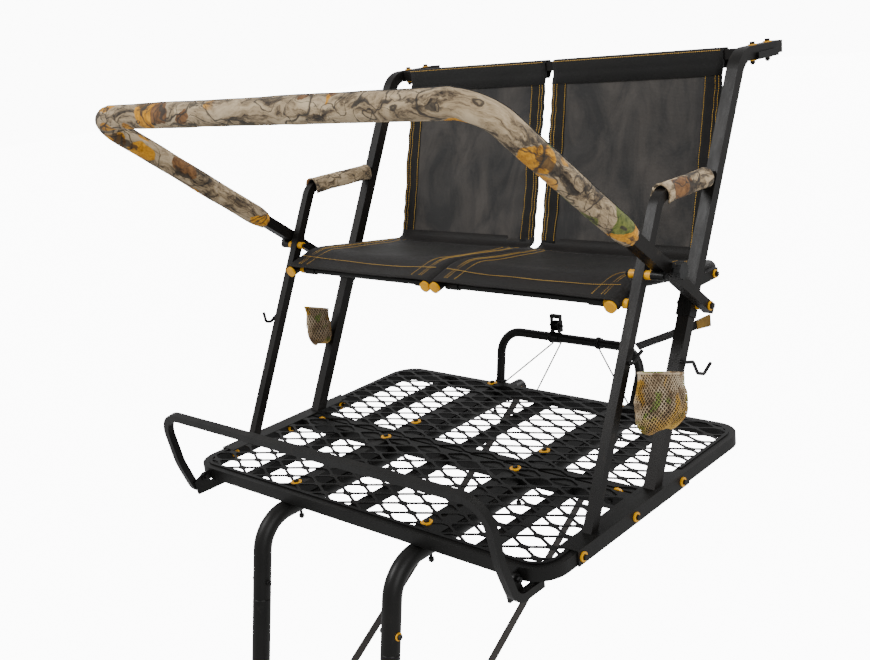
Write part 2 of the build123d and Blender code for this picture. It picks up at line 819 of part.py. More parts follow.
# The front bolt also passes through the front post. The rear one ends in a stub bracket that
# is welded to the back of the rear post.
STUB_X = 592.5
STUB = 15
seat_bolts = []
seat_bushings = []
seat_stubs = []
tube_side = SEAT_OUTER_X + tube_r
for y, z in (CROSSBAR_YZ, SEAT_BACK_YZ):
    seat_bolts.append(screw((-58, y, z), (58, y, z), head_tall=0))
    gap = SEAT_INNER_X - tube_r - 0.1
    seat_bushings.append(rod((-gap, y, z), (gap, y, z), 14, BOLT + 2 * FIT))
sleeve_gap = 18
for side in (-1, 1):
    for y, z in (CROSSBAR_YZ, SEAT_BACK_YZ):
        seat_bushings.append(
            rod(
                (side * (tube_side - SEAT_TUBE), y, z),
                (side * (tube_side - SEAT_TUBE - sleeve_gap + 0.1), y, z),
                23,
                BOLT + 2 * FIT,
            )
        )
    y, z = CROSSBAR_YZ
    seat_bolts.append(screw((side * (POST_X + POST / 2), y, z), (side * 520, y, z), head_tall=0))
    post_face = side * (POST_X - POST / 2)
    seat_bushings.append(rod((side * tube_side, y, z), (post_face, y, z), 24, BOLT + 2 * FIT))
    y, z = SEAT_BACK_YZ
    seat_bolts.append(screw((side * (STUB_X + STUB / 2 + 3), y, z), (side * 520, y, z)))
    outer = STUB_X + STUB / 2
    seat_bushings.append(rod((side * outer, y, z), (side * (outer + 3), y, z), 22, BOLT + 2 * FIT))
    seat_bushings.append(rod((side * tube_side, y, z), (side * (outer - STUB), y, z), 22, BOLT + 2 * FIT))
    post_back = rear_post_y(z) + REAR_POST / 2 / cos(rear_lean)
    with BuildPart() as stub:
        add(bar((side * STUB_X, post_back - 40, z), (side * STUB_X, y + 16, z), STUB, 26))
        split(
            bisect_by=Plane(
                origin=(0, post_back, z),
                x_dir=(1, 0, 0),
                z_dir=(0, cos(rear_lean), -sin(rear_lean)),
            ),
            keep=Keep.TOP,
        )
        add(hole((side * 560, y, z), (side * 640, y, z)), mode=Mode.SUBTRACT)
    seat_stubs.append(stub.part)
write(gather(seat_bolts), "seat_bolts")
write(gather(seat_bushings), "seat_bushings")
write(gather(seat_stubs), "seat_stub_brackets")

# ---------------------------------------------------------------- shooting rail

RUNNING = 0.06
BRACKET = 3
bracket_out = REAR_POST_X + REAR_POST / 2 + BRACKET
arm_in = SHOOT_X - ARM / 2
arm_out = SHOOT_X + ARM / 2
post_turn = Vector(0, sin(rear_lean), cos(rear_lean))

pivot_brackets = []
for side in (-1, 1):
    on_post = Vector(side * REAR_POST_X, rear_post_y(PIVOT_Z), PIVOT_Z)
    half = REAR_POST / 2 + FIT
    with BuildPart() as bracket:
        with BuildSketch(Plane(origin=on_post - post_turn * 30, x_dir=(1, 0, 0), z_dir=post_turn)):
            Rectangle(2 * half + 2 * BRACKET, 2 * half + 2 * BRACKET)
            Rectangle(2 * half, 2 * half, mode=Mode.SUBTRACT)
            with Locations((0, half + BRACKET)):
                Rectangle(3 * half, 2 * BRACKET + 1, mode=Mode.SUBTRACT)
        extrude(amount=60)
        add(hole((side * 560, PIVOT_Y, PIVOT_Z), (side * 640, PIVOT_Y, PIVOT_Z), PIVOT_BOLT + 2 * FIT),
            mode=Mode.SUBTRACT)
    pivot_brackets.append(bracket.part)

    y, z = PIVOT_Y, PIVOT_Z
    inner = REAR_POST_X - REAR_POST / 2 - FIT - BRACKET
    side_bolts.append(
        bolt((side * (arm_out + 3.5), y, z), (side * (inner - 14), y, z), PIVOT_BOLT)
    )
    side_washers.append(rod((side * (bracket_out + FIT), y, z), (side * (arm_in - 0.1), y, z), 26,
                            PIVOT_BOLT + 2 * FIT))
    side_washers.append(rod((side * (inner - 5), y, z), (side * inner, y, z), 24, PIVOT_BOLT + 2 * FIT))
    side_washers.append(rod((side * (arm_out + 0.3), y, z), (side * (arm_out + 3.5), y, z), 24,
                            PIVOT_BOLT + 2 * FIT))

    y, z = SHOOT_STOP.Y, SHOOT_STOP.Z
    post_outer = POST_X + POST / 2
    stop_end = SHOOT_X + SLEEVE / 2 + 3
    post_inner = post_outer - POST
    stop_wide = 2 * (STOP - SLEEVE / 2 - FIT)
    side_bolts.append(bolt((side * stop_end, y, z), (side * (post_inner - 26), y, z)))
    side_bolts.append(rod((side * (arm_in - 2), y, z), (side * stop_end, y, z), stop_wide, BOLT + 2 * FIT))
    side_washers.append(rod((side * post_outer, y, z), (side * (arm_in - 2), y, z), stop_wide, BOLT + 2 * FIT))
    side_washers.append(rod((side * (post_inner - 17), y, z), (side * post_inner, y, z), 21, BOLT + 2 * FIT))
write(gather(pivot_brackets), "rail_pivot_brackets")
write(gather(side_bolts), "side_frame_bolts")
write(gather(side_washers), "side_frame_washers")

ARM_END = 430
arms = []
for side in (-1, 1):
    x = side * SHOOT_X
    arms.append(bar(shoot_point(-24, 0, x), shoot_point(ARM_END, 0, x), ARM, ARM, STEEL, x_dir=(1, 0, 0)))
arm_holes = [
    hole((side * 600, PIVOT_Y, PIVOT_Z), (side * 700, PIVOT_Y, PIVOT_Z), PIVOT_BOLT + 2 * RUNNING)
    for side in (-1, 1)
]
write(gather(arms, arm_holes), "rail_lower_arms")

KNOB_AT = 222
KNOB_STEM = 10
NUT_PLATE = 6
sleeve_out = SHOOT_X + SLEEVE / 2
rail_path = [
    shoot_point(SLEEVE_START, 0, -SHOOT_X),
    shoot_point(FRONT_BAR, 0, -SHOOT_X),
    shoot_point(FRONT_BAR, 0, SHOOT_X),
    shoot_point(SLEEVE_START, 0, SHOOT_X),
]
pad_path = [
    shoot_point(RAIL_PAD_START[-1], 0, -SHOOT_X),
    shoot_point(FRONT_BAR, 0, -SHOOT_X),
    shoot_point(FRONT_BAR, 0, SHOOT_X),
    shoot_point(RAIL_PAD_START[1], 0, SHOOT_X),
]
knob_spot = shoot_point(KNOB_AT)
with BuildPart() as rail_tube:
    add(bent_tube(rail_path, RAIL_CORNER, SLEEVE, STEEL))
    for side in (-1, 1):
        with BuildSketch(
            Plane(
                origin=(side * sleeve_out, knob_spot.Y, knob_spot.Z),
                x_dir=shoot_point(1) - shoot_point(0),
                z_dir=(side, 0, 0),
            )
        ):
            RectangleRounded(28, 28, 4)
        extrude(amount=NUT_PLATE)
        add(
            rod(
                (side * SHOOT_X, knob_spot.Y, knob_spot.Z),
                (side * (SHOOT_X + 60), knob_spot.Y, knob_spot.Z),
                KNOB_STEM + 2 * RUNNING,
            ),
            mode=Mode.SUBTRACT,
        )
write(rail_tube, "rail_upper_tube")

with BuildPart() as rail_pad:
    with BuildLine() as pad_line:
        FilletPolyline(*pad_path, radius=RAIL_CORNER)
    with BuildSketch(Plane(origin=pad_line.line @ 0, x_dir=(1, 0, 0), z_dir=pad_line.line % 0)):
        Circle(RAIL_PAD / 2)
        Rectangle(SLEEVE + 2 * FIT, SLEEVE + 2 * FIT, mode=Mode.SUBTRACT)
    sweep()
write(rail_pad, "rail_pad")

KNOB = 42
for side in (-1, 1):
    tip = arm_out + 0.3
    with BuildPart() as knob:
        with BuildSketch(Plane(origin=(side * tip, knob_spot.Y, knob_spot.Z), z_dir=(side, 0, 0))):
            Circle(KNOB_STEM / 2)
        extrude(amount=22)
        with BuildSketch(Plane(origin=(side * (tip + 20), knob_spot.Y, knob_spot.Z), z_dir=(side, 0, 0))):
            Circle(KNOB / 2)
            with PolarLocations(KNOB / 2 + 3, 7):
                Circle(6, mode=Mode.SUBTRACT)
        extrude(amount=15)
    write(knob, f"rail_knob_{side_name(side)}")

# ---------------------------------------------------------------- footrest

FOOT_WALL = 1.6
STUB_LOW = -44
pivot_y, pivot_z = FOOTREST_PIVOT
arm_face = FOOTREST_X - FOOTREST / 2
foot_profile = ((-368, STUB_LOW), (-462, STUB_LOW), (-499, 60), (-524, 215))
foot_path = [(-FOOTREST_X, y, z) for y, z in foot_profile]
foot_path += [(FOOTREST_X, y, z) for y, z in reversed(foot_profile)]
foot_radii = [42, 200, 70, 70, 200, 42]
LUG_GAP = 0.5
LUG = 4
lug_in = arm_face - LUG - 2.5

foot_solids = [bent_tube(foot_path, foot_radii, FOOTREST, FOOT_WALL)]
foot_lugs = []
foot_bolts = []
for side in (-1, 1):
    low = STUB_LOW + FOOTREST / 2
    foot_solids.append(
        bar((side * FOOTREST_X, -376, low), (side * FOOTREST_X, -376, -RIM / 2 - FIT), FOOTREST, 12)
    )
    with BuildPart() as foot_lug:
        with BuildSketch(Plane.YZ.offset(side * arm_face)):
            Polygon((pivot_y, 7), (-476, -10), (-468, -50), (-412, -50), (pivot_y + 11, -14), align=None)
            with Locations((pivot_y, pivot_z)):
                Circle(13)
                Circle(BOLT / 2 + RUNNING, mode=Mode.SUBTRACT)
        extrude(amount=side * (lug_in - arm_face))
    foot_solids.append(foot_lug.part)
    with BuildPart() as deck_lug:
        with BuildSketch(Plane.YZ.offset(side * (lug_in - LUG_GAP))):
            with Locations(((DECK_FRONT + pivot_y) / 2, pivot_z + 2)):
                Rectangle(DECK_FRONT - pivot_y, 26)
            with Locations((pivot_y, pivot_z)):
                Circle(13)
                Circle(BOLT / 2 + FIT, mode=Mode.SUBTRACT)
        extrude(amount=-side * LUG)
        with BuildSketch(Plane.YZ.offset(side * (lug_in - LUG_GAP - LUG))):
            with Locations((pivot_y, pivot_z)):
                Circle(BOLT / 2 + FIT)
        extrude(amount=side * LUG, mode=Mode.SUBTRACT)
    foot_lugs.append(deck_lug.part)
    head = lug_in - LUG_GAP - LUG - 3
    foot_bolts.append(
        bolt((side * head, pivot_y, pivot_z), (side * (arm_face + 10), pivot_y, pivot_z), nut_tall=6)
    )
write(gather(foot_solids), "footrest")
write(gather(foot_lugs), "footrest_lugs")
write(gather(foot_bolts), "footrest_bolts")

# ---------------------------------------------------------------- hooks and net bags

HOOK = 9
post_out = POST_X + POST / 2
rear_out = REAR_POST_X + REAR_POST / 2


def bent_rod(points, radius, diameter):
    with BuildPart() as piece:
        with BuildLine() as path:
            FilletPolyline(*points, radius=radius)
        with BuildSketch(Plane(origin=path.line @ 0, z_dir=path.line % 0)):
            Circle(diameter / 2)
        sweep()
    return piece.part


front_left_hook = [
    (-post_out, -36, 352),
    (-post_out - 18, -36, 352),
    (-post_out - 20, -58, 337),
    (-post_out - 20, -76, 342),
    (-post_out - 20, -80, 372),
]
front_right_hook = [
    (post_out, -36, 366),
    (post_out + 12, -36, 366),
    (post_out + 13, -12, 380),
    (post_out + 13, 4, 386),
]
rear_right_hook = [
    (rear_out, 186, 300),
    (rear_out + 14, 186, 300),
    (rear_out + 16, 216, 292),
    (rear_out + 16, 236, 256),
    (rear_out + 16, 266, 244),
    (rear_out + 16, 302, 262),
]
HOOK_BEND = 9
hooks = [bent_rod(route, HOOK_BEND, HOOK) for route in (front_left_hook, front_right_hook, rear_right_hook)]
write(gather(hooks), "accessory_hooks")

BAG_ROUND = 12
for name, start, thick, outline in (
    ("right", 636, 44, ((-64, 362), (144, 300), (142, 220), (76, 172), (-36, 184), (-78, 250))),
    ("left", -597, -34, ((56, 358), (156, 322), (148, 246), (124, 210), (88, 222), (62, 290))),
):
    with BuildPart() as bag:
        with BuildSketch(Plane.YZ.offset(start)):
            Polygon(*outline, align=None)
        extrude(amount=thick)
        fillet(bag.edges().filter_by(Axis.X), BAG_ROUND)
    write(bag, f"net_bag_{name}")

# ---------------------------------------------------------------- ratchet, its strap and the ropes

RATCHET_X = -32
RATCHET = 30
PLATE = 3
spool_y = arch_y(ARCH_TOP_Z) + 4
spool_z = ARCH_TOP_Z + 38
ratchet_low = RATCHET_X - RATCHET / 2
ratchet_high = RATCHET_X + RATCHET / 2
AXLE = 8

frame_solids = []
with BuildPart() as ratchet:
    with BuildSketch(Plane.XY.offset(ARCH_TOP_Z + ARCH_TUBE / 2 + 3)):
        with Locations((RATCHET_X, spool_y)):
            Rectangle(RATCHET, 26)
        with Locations((RATCHET_X, spool_y - PLATE)):
            Rectangle(RATCHET - 2 * PLATE, 26, mode=Mode.SUBTRACT)
    extrude(amount=34)
    add(hole((-100, spool_y, spool_z), (50, spool_y, spool_z)), mode=Mode.SUBTRACT)
frame_solids.append(ratchet.part)
frame_solids.append(rod((ratchet_low - 9, spool_y, spool_z), (ratchet_high + 9, spool_y, spool_z), AXLE))
frame_solids.append(
    rod(
        (RATCHET_X - 13, arch_y(ARCH_TOP_Z), ARCH_TOP_Z),
        (RATCHET_X + 13, arch_y(ARCH_TOP_Z), ARCH_TOP_Z),
        ARCH_TUBE + 5,
        ARCH_TUBE + 2 * FIT,
    )
)
write(gather(frame_solids), "ratchet_frame")

with BuildPart() as lever:
    for x in (ratchet_low - PLATE - FIT, ratchet_high + FIT):
        with BuildSketch(Plane.YZ.offset(x)):
            with Locations((spool_y, spool_z + 12)):
                Rectangle(14, 44)
            with Locations((spool_y, spool_z)):
                Circle(9)
                Circle(AXLE / 2 + RUNNING, mode=Mode.SUBTRACT)
        extrude(amount=PLATE)
        with BuildSketch(Plane.YZ.offset(x)):
            with Locations((spool_y, spool_z)):
                Circle(AXLE / 2 + RUNNING)
        extrude(amount=PLATE, mode=Mode.SUBTRACT)
    with BuildSketch(Plane.YZ.offset(ratchet_low - PLATE - FIT)):
        with Locations((spool_y, spool_z + 30)):
            RectangleRounded(16, 12, 4)
    extrude(amount=RATCHET + 2 * PLATE + 2 * FIT)
write(lever, "ratchet_lever")

STRAP_WIDE = 27
STRAP = 2.4
ROPE = 5
strap_start = (ARCH_X - 2, arch_y(ARCH_TOP_Z) + ARCH_TUBE / 2 + 2, ARCH_TOP_Z)
strap_end = (366, 812, 198)
rope_drop = ARCH_TUBE / 2 + ROPE / 2 + FIT
write(gather([bar(strap_start, strap_end, STRAP, STRAP_WIDE, x_dir=(1, -0.4, 0))]), "ratchet_strap")
leg_inner = ARCH_X - ARCH_TUBE / 2 - ROPE
write(
    gather([rod((-leg_inner, arch_y(4), 4), (-48, arch_y(ARCH_TOP_Z), ARCH_TOP_Z - rope_drop - 3), ROPE)]),
    "rope_left",
)
write(
    gather([rod((leg_inner, arch_y(4), 4), (125, arch_y(ARCH_TOP_Z), ARCH_TOP_Z - rope_drop - 3), ROPE)]),
    "rope_right",
)
write(gather([rod((-80, DECK_REAR + ROPE, 2), (-48, 622, 150), ROPE)]), "rope_rear")
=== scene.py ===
import json
import math

import bmesh
import bpy
from mathutils import Matrix, Vector, noise


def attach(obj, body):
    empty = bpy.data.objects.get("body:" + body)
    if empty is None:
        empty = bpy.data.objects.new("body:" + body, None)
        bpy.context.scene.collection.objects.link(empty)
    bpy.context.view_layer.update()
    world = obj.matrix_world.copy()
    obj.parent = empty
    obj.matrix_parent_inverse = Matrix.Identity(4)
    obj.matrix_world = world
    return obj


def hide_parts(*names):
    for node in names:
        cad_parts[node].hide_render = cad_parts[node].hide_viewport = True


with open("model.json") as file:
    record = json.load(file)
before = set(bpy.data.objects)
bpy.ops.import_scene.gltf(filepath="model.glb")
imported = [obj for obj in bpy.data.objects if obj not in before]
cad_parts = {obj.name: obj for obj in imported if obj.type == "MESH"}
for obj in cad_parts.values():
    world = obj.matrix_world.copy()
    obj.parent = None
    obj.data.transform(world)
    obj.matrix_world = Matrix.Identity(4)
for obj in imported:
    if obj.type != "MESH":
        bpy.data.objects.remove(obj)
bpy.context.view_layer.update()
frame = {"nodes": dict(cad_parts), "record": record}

# Metres. Places are given about the middle of the platform, as in the CAD source, and deck()
# turns them into the row frame, whose origin is on the ground under the ladder.
DECK_ORIGIN = Vector((0.0, 1.265, 3.52))


def deck(x, y, z):
    return Vector((x, y, z)) + DECK_ORIGIN


# ---------------------------------------------------------------- materials

def node_material(name, **surface):
    """A Principled material with its uniform values set on the shader's own sockets."""
    material = bpy.data.materials.new(name)
    material.use_nodes = True
    tree = material.node_tree
    shader = tree.nodes["Principled BSDF"]
    for socket, value in surface.items():
        shader.inputs[socket.replace("_", " ")].default_value = value
    place = tree.nodes.new("ShaderNodeTexCoord")
    return material, tree, shader, place.outputs["Object"]


def add_node(tree, kind, links=(), **values):
    """A node with its inputs set by name and linked from (socket, output) pairs."""
    node = tree.nodes.new("ShaderNode" + kind)
    for key, value in values.items():
        if key in node.inputs:
            node.inputs[key].default_value = value
        else:
            setattr(node, key, value)
    for socket, output in links:
        tree.links.new(output, node.inputs[socket])
    return node


def ramp(tree, factor, stops):
    node = tree.nodes.new("ShaderNodeValToRGB")
    tree.links.new(factor, node.inputs["Fac"])
    elements = node.color_ramp.elements
    while len(elements) > len(stops):
        elements.remove(elements[-1])
    while len(elements) < len(stops):
        elements.new(1.0)
    for element, (position, colour) in zip(elements, stops):
        element.position = position
        element.color = (*colour, 1.0)
    return node.outputs["Color"]


def grey(value):
    return (value, value, value)


def mix(tree, factor, first, second):
    node = add_node(tree, "Mix", data_type="RGBA")
    tree.links.new(factor, node.inputs[0])
    tree.links.new(first, node.inputs[6])
    tree.links.new(second, node.inputs[7])
    return node.outputs[2]


def noise_of(tree, place, scale, detail=3.0, rough=0.55, stretch=None, distortion=0.0):
    if stretch:
        mapping = add_node(tree, "Mapping", [("Vector", place)])
        mapping.inputs["Scale"].default_value = stretch
        place = mapping.outputs["Vector"]
    node = add_node(tree, "TexNoise", [("Vector", place)], Scale=scale, Detail=detail, Roughness=rough,
                    Distortion=distortion)
    return node.outputs["Fac"]


def bump(tree, shader, height, strength, distance, under=None):
    node = add_node(tree, "Bump", [("Height", height)], Strength=strength, Distance=distance)
    if under is not None:
        tree.links.new(under, node.inputs["Normal"])
    tree.links.new(node.outputs["Normal"], shader.inputs["Normal"])
    return node.outputs["Normal"]


def powder_coat(name, dark, light, worn, roughness=(0.36, 0.52)):
    """Powder-coated steel: cloudy colour, orange-peel texture, fine scuffs and dusty wear."""
    material, tree, shader, place = node_material(name, Metallic=0.0, IOR=1.45, Specular_IOR_Level=0.32)
    cloud = noise_of(tree, place, 7.0, 5.0, 0.6)
    scuffs = noise_of(tree, place, 38.0, 6.0, 0.72, stretch=(1.0, 0.35, 0.3), distortion=0.4)
    base = ramp(tree, cloud, [(0.32, dark), (0.72, light)])
    worn_colour = ramp(tree, cloud, [(0.0, worn), (1.0, worn)])
    mask = ramp(tree, scuffs, [(0.62, grey(0.0)), (0.74, grey(0.55))])
    tree.links.new(mix(tree, mask, base, worn_colour), shader.inputs["Base Color"])
    tree.links.new(ramp(tree, scuffs, [(0.3, grey(roughness[0])), (0.75, grey(roughness[1]))]),
                   shader.inputs["Roughness"])
    peel = noise_of(tree, place, 420.0, 2.0)
    first = bump(tree, shader, peel, 0.22, 0.0006)
    bump(tree, shader, scuffs, 0.12, 0.0012, under=first)
    return material


def moulded(name, dark, light, roughness, grain):
    """Moulded plastic: slightly uneven colour, a fine grain and rubbed patches."""
    material, tree, shader, place = node_material(name, IOR=1.48)
    cloud = noise_of(tree, place, 30.0, 4.0)
    tree.links.new(ramp(tree, cloud, [(0.35, dark), (0.7, light)]), shader.inputs["Base Color"])
    rub = noise_of(tree, place, 90.0, 5.0, 0.7)
    tree.links.new(ramp(tree, rub, [(0.35, grey(roughness)), (0.75, grey(roughness + 0.18))]),
                   shader.inputs["Roughness"])
    bump(tree, shader, noise_of(tree, place, 900.0, 2.0), grain, 0.0004)
    return material


def weave_height(tree, place, threads):
    """Crossed threads, as the larger of two wave patterns."""
    waves = [
        add_node(tree, "TexWave", [("Vector", place)], wave_type="BANDS",
                 bands_direction=direction, Scale=threads, Distortion=0.15, Detail=0.0)
        for direction in ("X", "DIAGONAL")
    ]
    both = add_node(tree, "Math", [(0, waves[0].outputs["Fac"]), (1, waves[1].outputs["Fac"])],
                    operation="MAXIMUM")
    return both.outputs[0]


def cloth(name, dark, light, threads, sheen, roughness=0.8, strength=0.5):
    """Woven cloth with threads, soft colour drift and a light sheen."""
    material, tree, shader, place = node_material(
        name, Sheen_Weight=sheen, Sheen_Roughness=0.4, Specular_IOR_Level=0.3
    )
    cloud = noise_of(tree, place, 11.0, 5.0, 0.6)
    weave = weave_height(tree, place, threads)
    colour = ramp(tree, cloud, [(0.3, dark), (0.72, light)])
    shade = ramp(tree, weave, [(0.1, grey(0.45)), (0.8, grey(1.0))])
    darkened = add_node(tree, "Mix", data_type="RGBA", blend_type="MULTIPLY")
    darkened.inputs[0].default_value = 0.7
    tree.links.new(colour, darkened.inputs[6])
    tree.links.new(shade, darkened.inputs[7])
    tree.links.new(darkened.outputs[2], shader.inputs["Base Color"])
    tree.links.new(ramp(tree, cloud, [(0.2, grey(roughness - 0.12)), (0.8, grey(roughness + 0.05))]),
                   shader.inputs["Roughness"])
    bump(tree, shader, weave, strength, 0.0008)
    return material


def contour(tree, field, centre, width, strength):
    """A mask along the line where a noise field passes one value, as thin as a twig."""
    away = add_node(tree, "Math", [(0, field)], operation="SUBTRACT")
    away.inputs[1].default_value = centre
    size = add_node(tree, "Math", [(0, away.outputs[0])], operation="ABSOLUTE")
    return ramp(tree, size.outputs[0], [(width * 0.45, grey(strength)), (width, grey(0.0))])


# Along the rail pad, in metres, how much likelier its amber leaves are.
LEAF_FADE = {"From Min": 0.45, "From Max": 1.15, "To Min": 0.34, "To Max": 0.0}


def camouflage(name, scale, threads, brightness=1.0, stretch=(1.0, 3.6, 3.6), run=False):
    """Woodland cloth: pale bark ground, dark twigs, amber and brown leaves and a few green ones."""
    material, tree, shader, place = node_material(name, Sheen_Weight=0.08, Specular_IOR_Level=0.25)
    if run:
        place = add_node(tree, "Attribute", attribute_name="run").outputs["Vector"]
        # The printed leaves are thick on the first arm and thin out along the front.
        along = add_node(tree, "SeparateXYZ", [("Vector", place)]).outputs["X"]
        leafy = add_node(tree, "MapRange", [("Value", along)], **LEAF_FADE).outputs["Result"]

    def lit(r, g, b):
        return (r * brightness, g * brightness, b * brightness)

    warp = add_node(tree, "TexNoise", [("Vector", place)], Scale=15.0 * scale, Detail=4.0)
    bent = add_node(tree, "MixRGB", [("Color1", place), ("Color2", warp.outputs["Color"])])
    bent.inputs["Fac"].default_value = 0.05
    bent = bent.outputs["Color"]
    bark = noise_of(tree, bent, 10.0 * scale, 9.0, 0.74, stretch=stretch, distortion=0.6)
    colour = ramp(tree, bark, [
        (0.37, lit(0.020, 0.014, 0.009)),
        (0.44, lit(0.130, 0.094, 0.056)),
        (0.51, lit(0.38, 0.282, 0.168)),
        (0.64, lit(0.62, 0.490, 0.315)),
    ])
    vein = noise_of(tree, bent, 70.0 * scale, 5.0, 0.65)
    dark = ramp(tree, vein, [(0.3, lit(0.012, 0.009, 0.007)), (0.8, lit(0.080, 0.066, 0.050))])
    cells = add_node(tree, "TexVoronoi", [("Vector", bent)], Scale=13.0 * scale, feature="F1")
    pick = add_node(tree, "SeparateColor", [("Color", cells.outputs["Color"])])
    near = ramp(tree, cells.outputs["Distance"], [(0.52, grey(1.0)), (0.55, grey(0.0))])
    tones = (
        (lit(0.10, 0.046, 0.016), lit(0.26, 0.125, 0.045), "Green", 0.80),
        (lit(0.05, 0.070, 0.010), lit(0.19, 0.210, 0.045), "Blue", 0.90),
        (lit(0.36, 0.140, 0.003), lit(0.80, 0.37, 0.018), "Red", 0.72),
    )
    for deep, pale, channel, cut in tones:
        leaf = ramp(tree, vein, [(0.35, deep), (0.62, pale)])
        share = pick.outputs[channel]
        if run and channel == "Red":
            share = add_node(tree, "Math", [(0, share), (1, leafy)], operation="ADD").outputs[0]
        chosen = ramp(tree, share, [(cut, grey(0.0)), (cut + 0.02, grey(1.0))])
        mask = add_node(tree, "Math", [(0, chosen), (1, near)], operation="MULTIPLY").outputs[0]
        colour = mix(tree, mask, colour, leaf)
    blotch = noise_of(tree, bent, 7.0 * scale, 6.0, 0.62, stretch=stretch)
    colour = mix(tree, ramp(tree, blotch, [(0.565, grey(0.0)), (0.61, grey(0.85))]), colour, dark)
    for size, centre, width in ((5.0, 0.5, 0.009), (8.0, 0.46, 0.008), (9.0, 0.57, 0.006)):
        lines = noise_of(tree, bent, size * scale, 2.0, 0.5, distortion=0.5)
        colour = mix(tree, contour(tree, lines, centre, width, 0.9), colour, dark)
    tree.links.new(colour, shader.inputs["Base Color"])
    tree.links.new(ramp(tree, vein, [(0.2, grey(0.74)), (0.8, grey(0.9))]), shader.inputs["Roughness"])
    weave = weave_height(tree, place, threads)
    first = bump(tree, shader, weave, 0.3, 0.0007)
    bump(tree, shader, bark, 0.35, 0.003, under=first)
    return material


# The heights between which a net turns from amber to tan.
NET_GOLD = {
    "From Min": DECK_ORIGIN.z + 0.190,
    "From Max": DECK_ORIGIN.z + 0.290,
    "To Min": 1.0,
    "To Max": 0.0,
}


def netting(name):
    """Net strands: tan, with brown shadowed parts, amber towards the bottom and green patches."""
    material, tree, shader, place = node_material(name, Specular_IOR_Level=0.3, Sheen_Weight=0.1)
    cloud = noise_of(tree, place, 26.0, 5.0, 0.6)
    colour = ramp(tree, cloud, [
        (0.36, (0.16, 0.10, 0.05)),
        (0.50, (0.42, 0.31, 0.19)),
        (0.62, (0.60, 0.49, 0.34)),
    ])
    patch = noise_of(tree, place, 17.0, 3.0, 0.5)
    green = ramp(tree, cloud, [(0.4, (0.10, 0.15, 0.02)), (0.6, (0.26, 0.34, 0.07))])
    colour = mix(tree, ramp(tree, patch, [(0.56, grey(0.0)), (0.61, grey(1.0))]), colour, green)
    gold = ramp(tree, cloud, [(0.4, (0.26, 0.13, 0.01)), (0.6, (0.58, 0.33, 0.04))])
    colour = mix(tree, ramp(tree, patch, [(0.38, grey(1.0)), (0.44, grey(0.0))]), colour, gold)
    height = add_node(tree, "SeparateXYZ", [("Vector", place)]).outputs["Z"]
    low = add_node(tree, "MapRange", [("Value", height)], **NET_GOLD).outputs["Result"]
    patchy = add_node(tree, "Math", [(0, low), (1, cloud)], operation="MULTIPLY").outputs[0]
    colour = mix(tree, ramp(tree, patchy, [(0.20, grey(0.0)), (0.42, grey(0.9))]), colour, gold)
    tree.links.new(colour, shader.inputs["Base Color"])
    tree.links.new(ramp(tree, cloud, [(0.2, grey(0.6)), (0.8, grey(0.85))]), shader.inputs["Roughness"])
    bump(tree, shader, noise_of(tree, place, 700.0, 2.0), 0.4, 0.0006)
    return material


def open_mesh(name):
    """Coarse woven sling mesh: grey threads with small open holes between them."""
    material, tree, shader, place = node_material(name, Roughness=0.75, Sheen_Weight=0.2)
    cloud = noise_of(tree, place, 9.0, 5.0, 0.62, stretch=(1.0, 1.0, 0.45), distortion=0.8)
    tree.links.new(ramp(tree, cloud, [(0.38, (0.0045, 0.0038, 0.0033)), (0.64, (0.044, 0.037, 0.031))]),
                   shader.inputs["Base Color"])
    waves = [
        add_node(tree, "TexWave", [("Vector", place)], wave_type="BANDS", bands_direction=direction,
                 Scale=95.0, Distortion=0.1, Detail=0.0)
        for direction in ("X", "Z")
    ]
    gap = add_node(tree, "Math", [(0, waves[0].outputs["Fac"]), (1, waves[1].outputs["Fac"])],
                   operation="MINIMUM")
    # The pattern is 1 in the middle of a hole, so the alpha falls there.
    alpha = ramp(tree, gap.outputs[0], [(0.66, grey(1.0)), (0.88, grey(0.90))])
    tree.links.new(alpha, shader.inputs["Alpha"])
    bump(tree, shader, gap.outputs[0], 0.4, 0.0006)
    return material


black = powder_coat(
    "black_powder_coat", (0.0030, 0.0028, 0.0026), (0.0075, 0.0068, 0.0060), (0.034, 0.029, 0.025)
)
brown_black = powder_coat(
    "brown_black_powder_coat", (0.0034, 0.0028, 0.0024), (0.0100, 0.0080, 0.0066), (0.048, 0.037, 0.029)
)
mesh_black = powder_coat(
    "mesh_coat", (0.0018, 0.0017, 0.0016), (0.0048, 0.0044, 0.0040), (0.022, 0.019, 0.017)
)
brace_coat = powder_coat("brace_coat", (0.022, 0.018, 0.016), (0.045, 0.038, 0.033), (0.085, 0.073, 0.063))
bolt_black = powder_coat("blackened_fastener", (0.004, 0.004, 0.004), (0.011, 0.0105, 0.010),
                         (0.08, 0.074, 0.068), roughness=(0.28, 0.45))
amber = moulded("amber_plastic", (0.80, 0.36, 0.0), (0.95, 0.47, 0.002), 0.34, 0.12)
dark_plastic = moulded("dark_plastic", (0.005, 0.005, 0.005), (0.013, 0.013, 0.013), 0.42, 0.25)
foam = moulded("closed_cell_foam", (0.006, 0.0055, 0.005), (0.015, 0.0135, 0.012), 0.75, 0.9)
seat_cloth = cloth("seat_cloth", (0.0030, 0.0023, 0.0018), (0.0098, 0.0076, 0.0060), 230.0, 0.05, 0.6, 0.35)
webbing = cloth("black_webbing", (0.0035, 0.0032, 0.003), (0.0085, 0.0078, 0.007), 300.0, 0.08, 0.72, 0.6)
cord_weave = cloth("braided_cord", (0.004, 0.004, 0.004), (0.013, 0.012, 0.011), 500.0, 0.1, 0.75, 0.7)
thread = cloth("orange_thread", (0.74, 0.40, 0.05), (0.96, 0.60, 0.13), 900.0, 0.1, 0.6, 0.3)
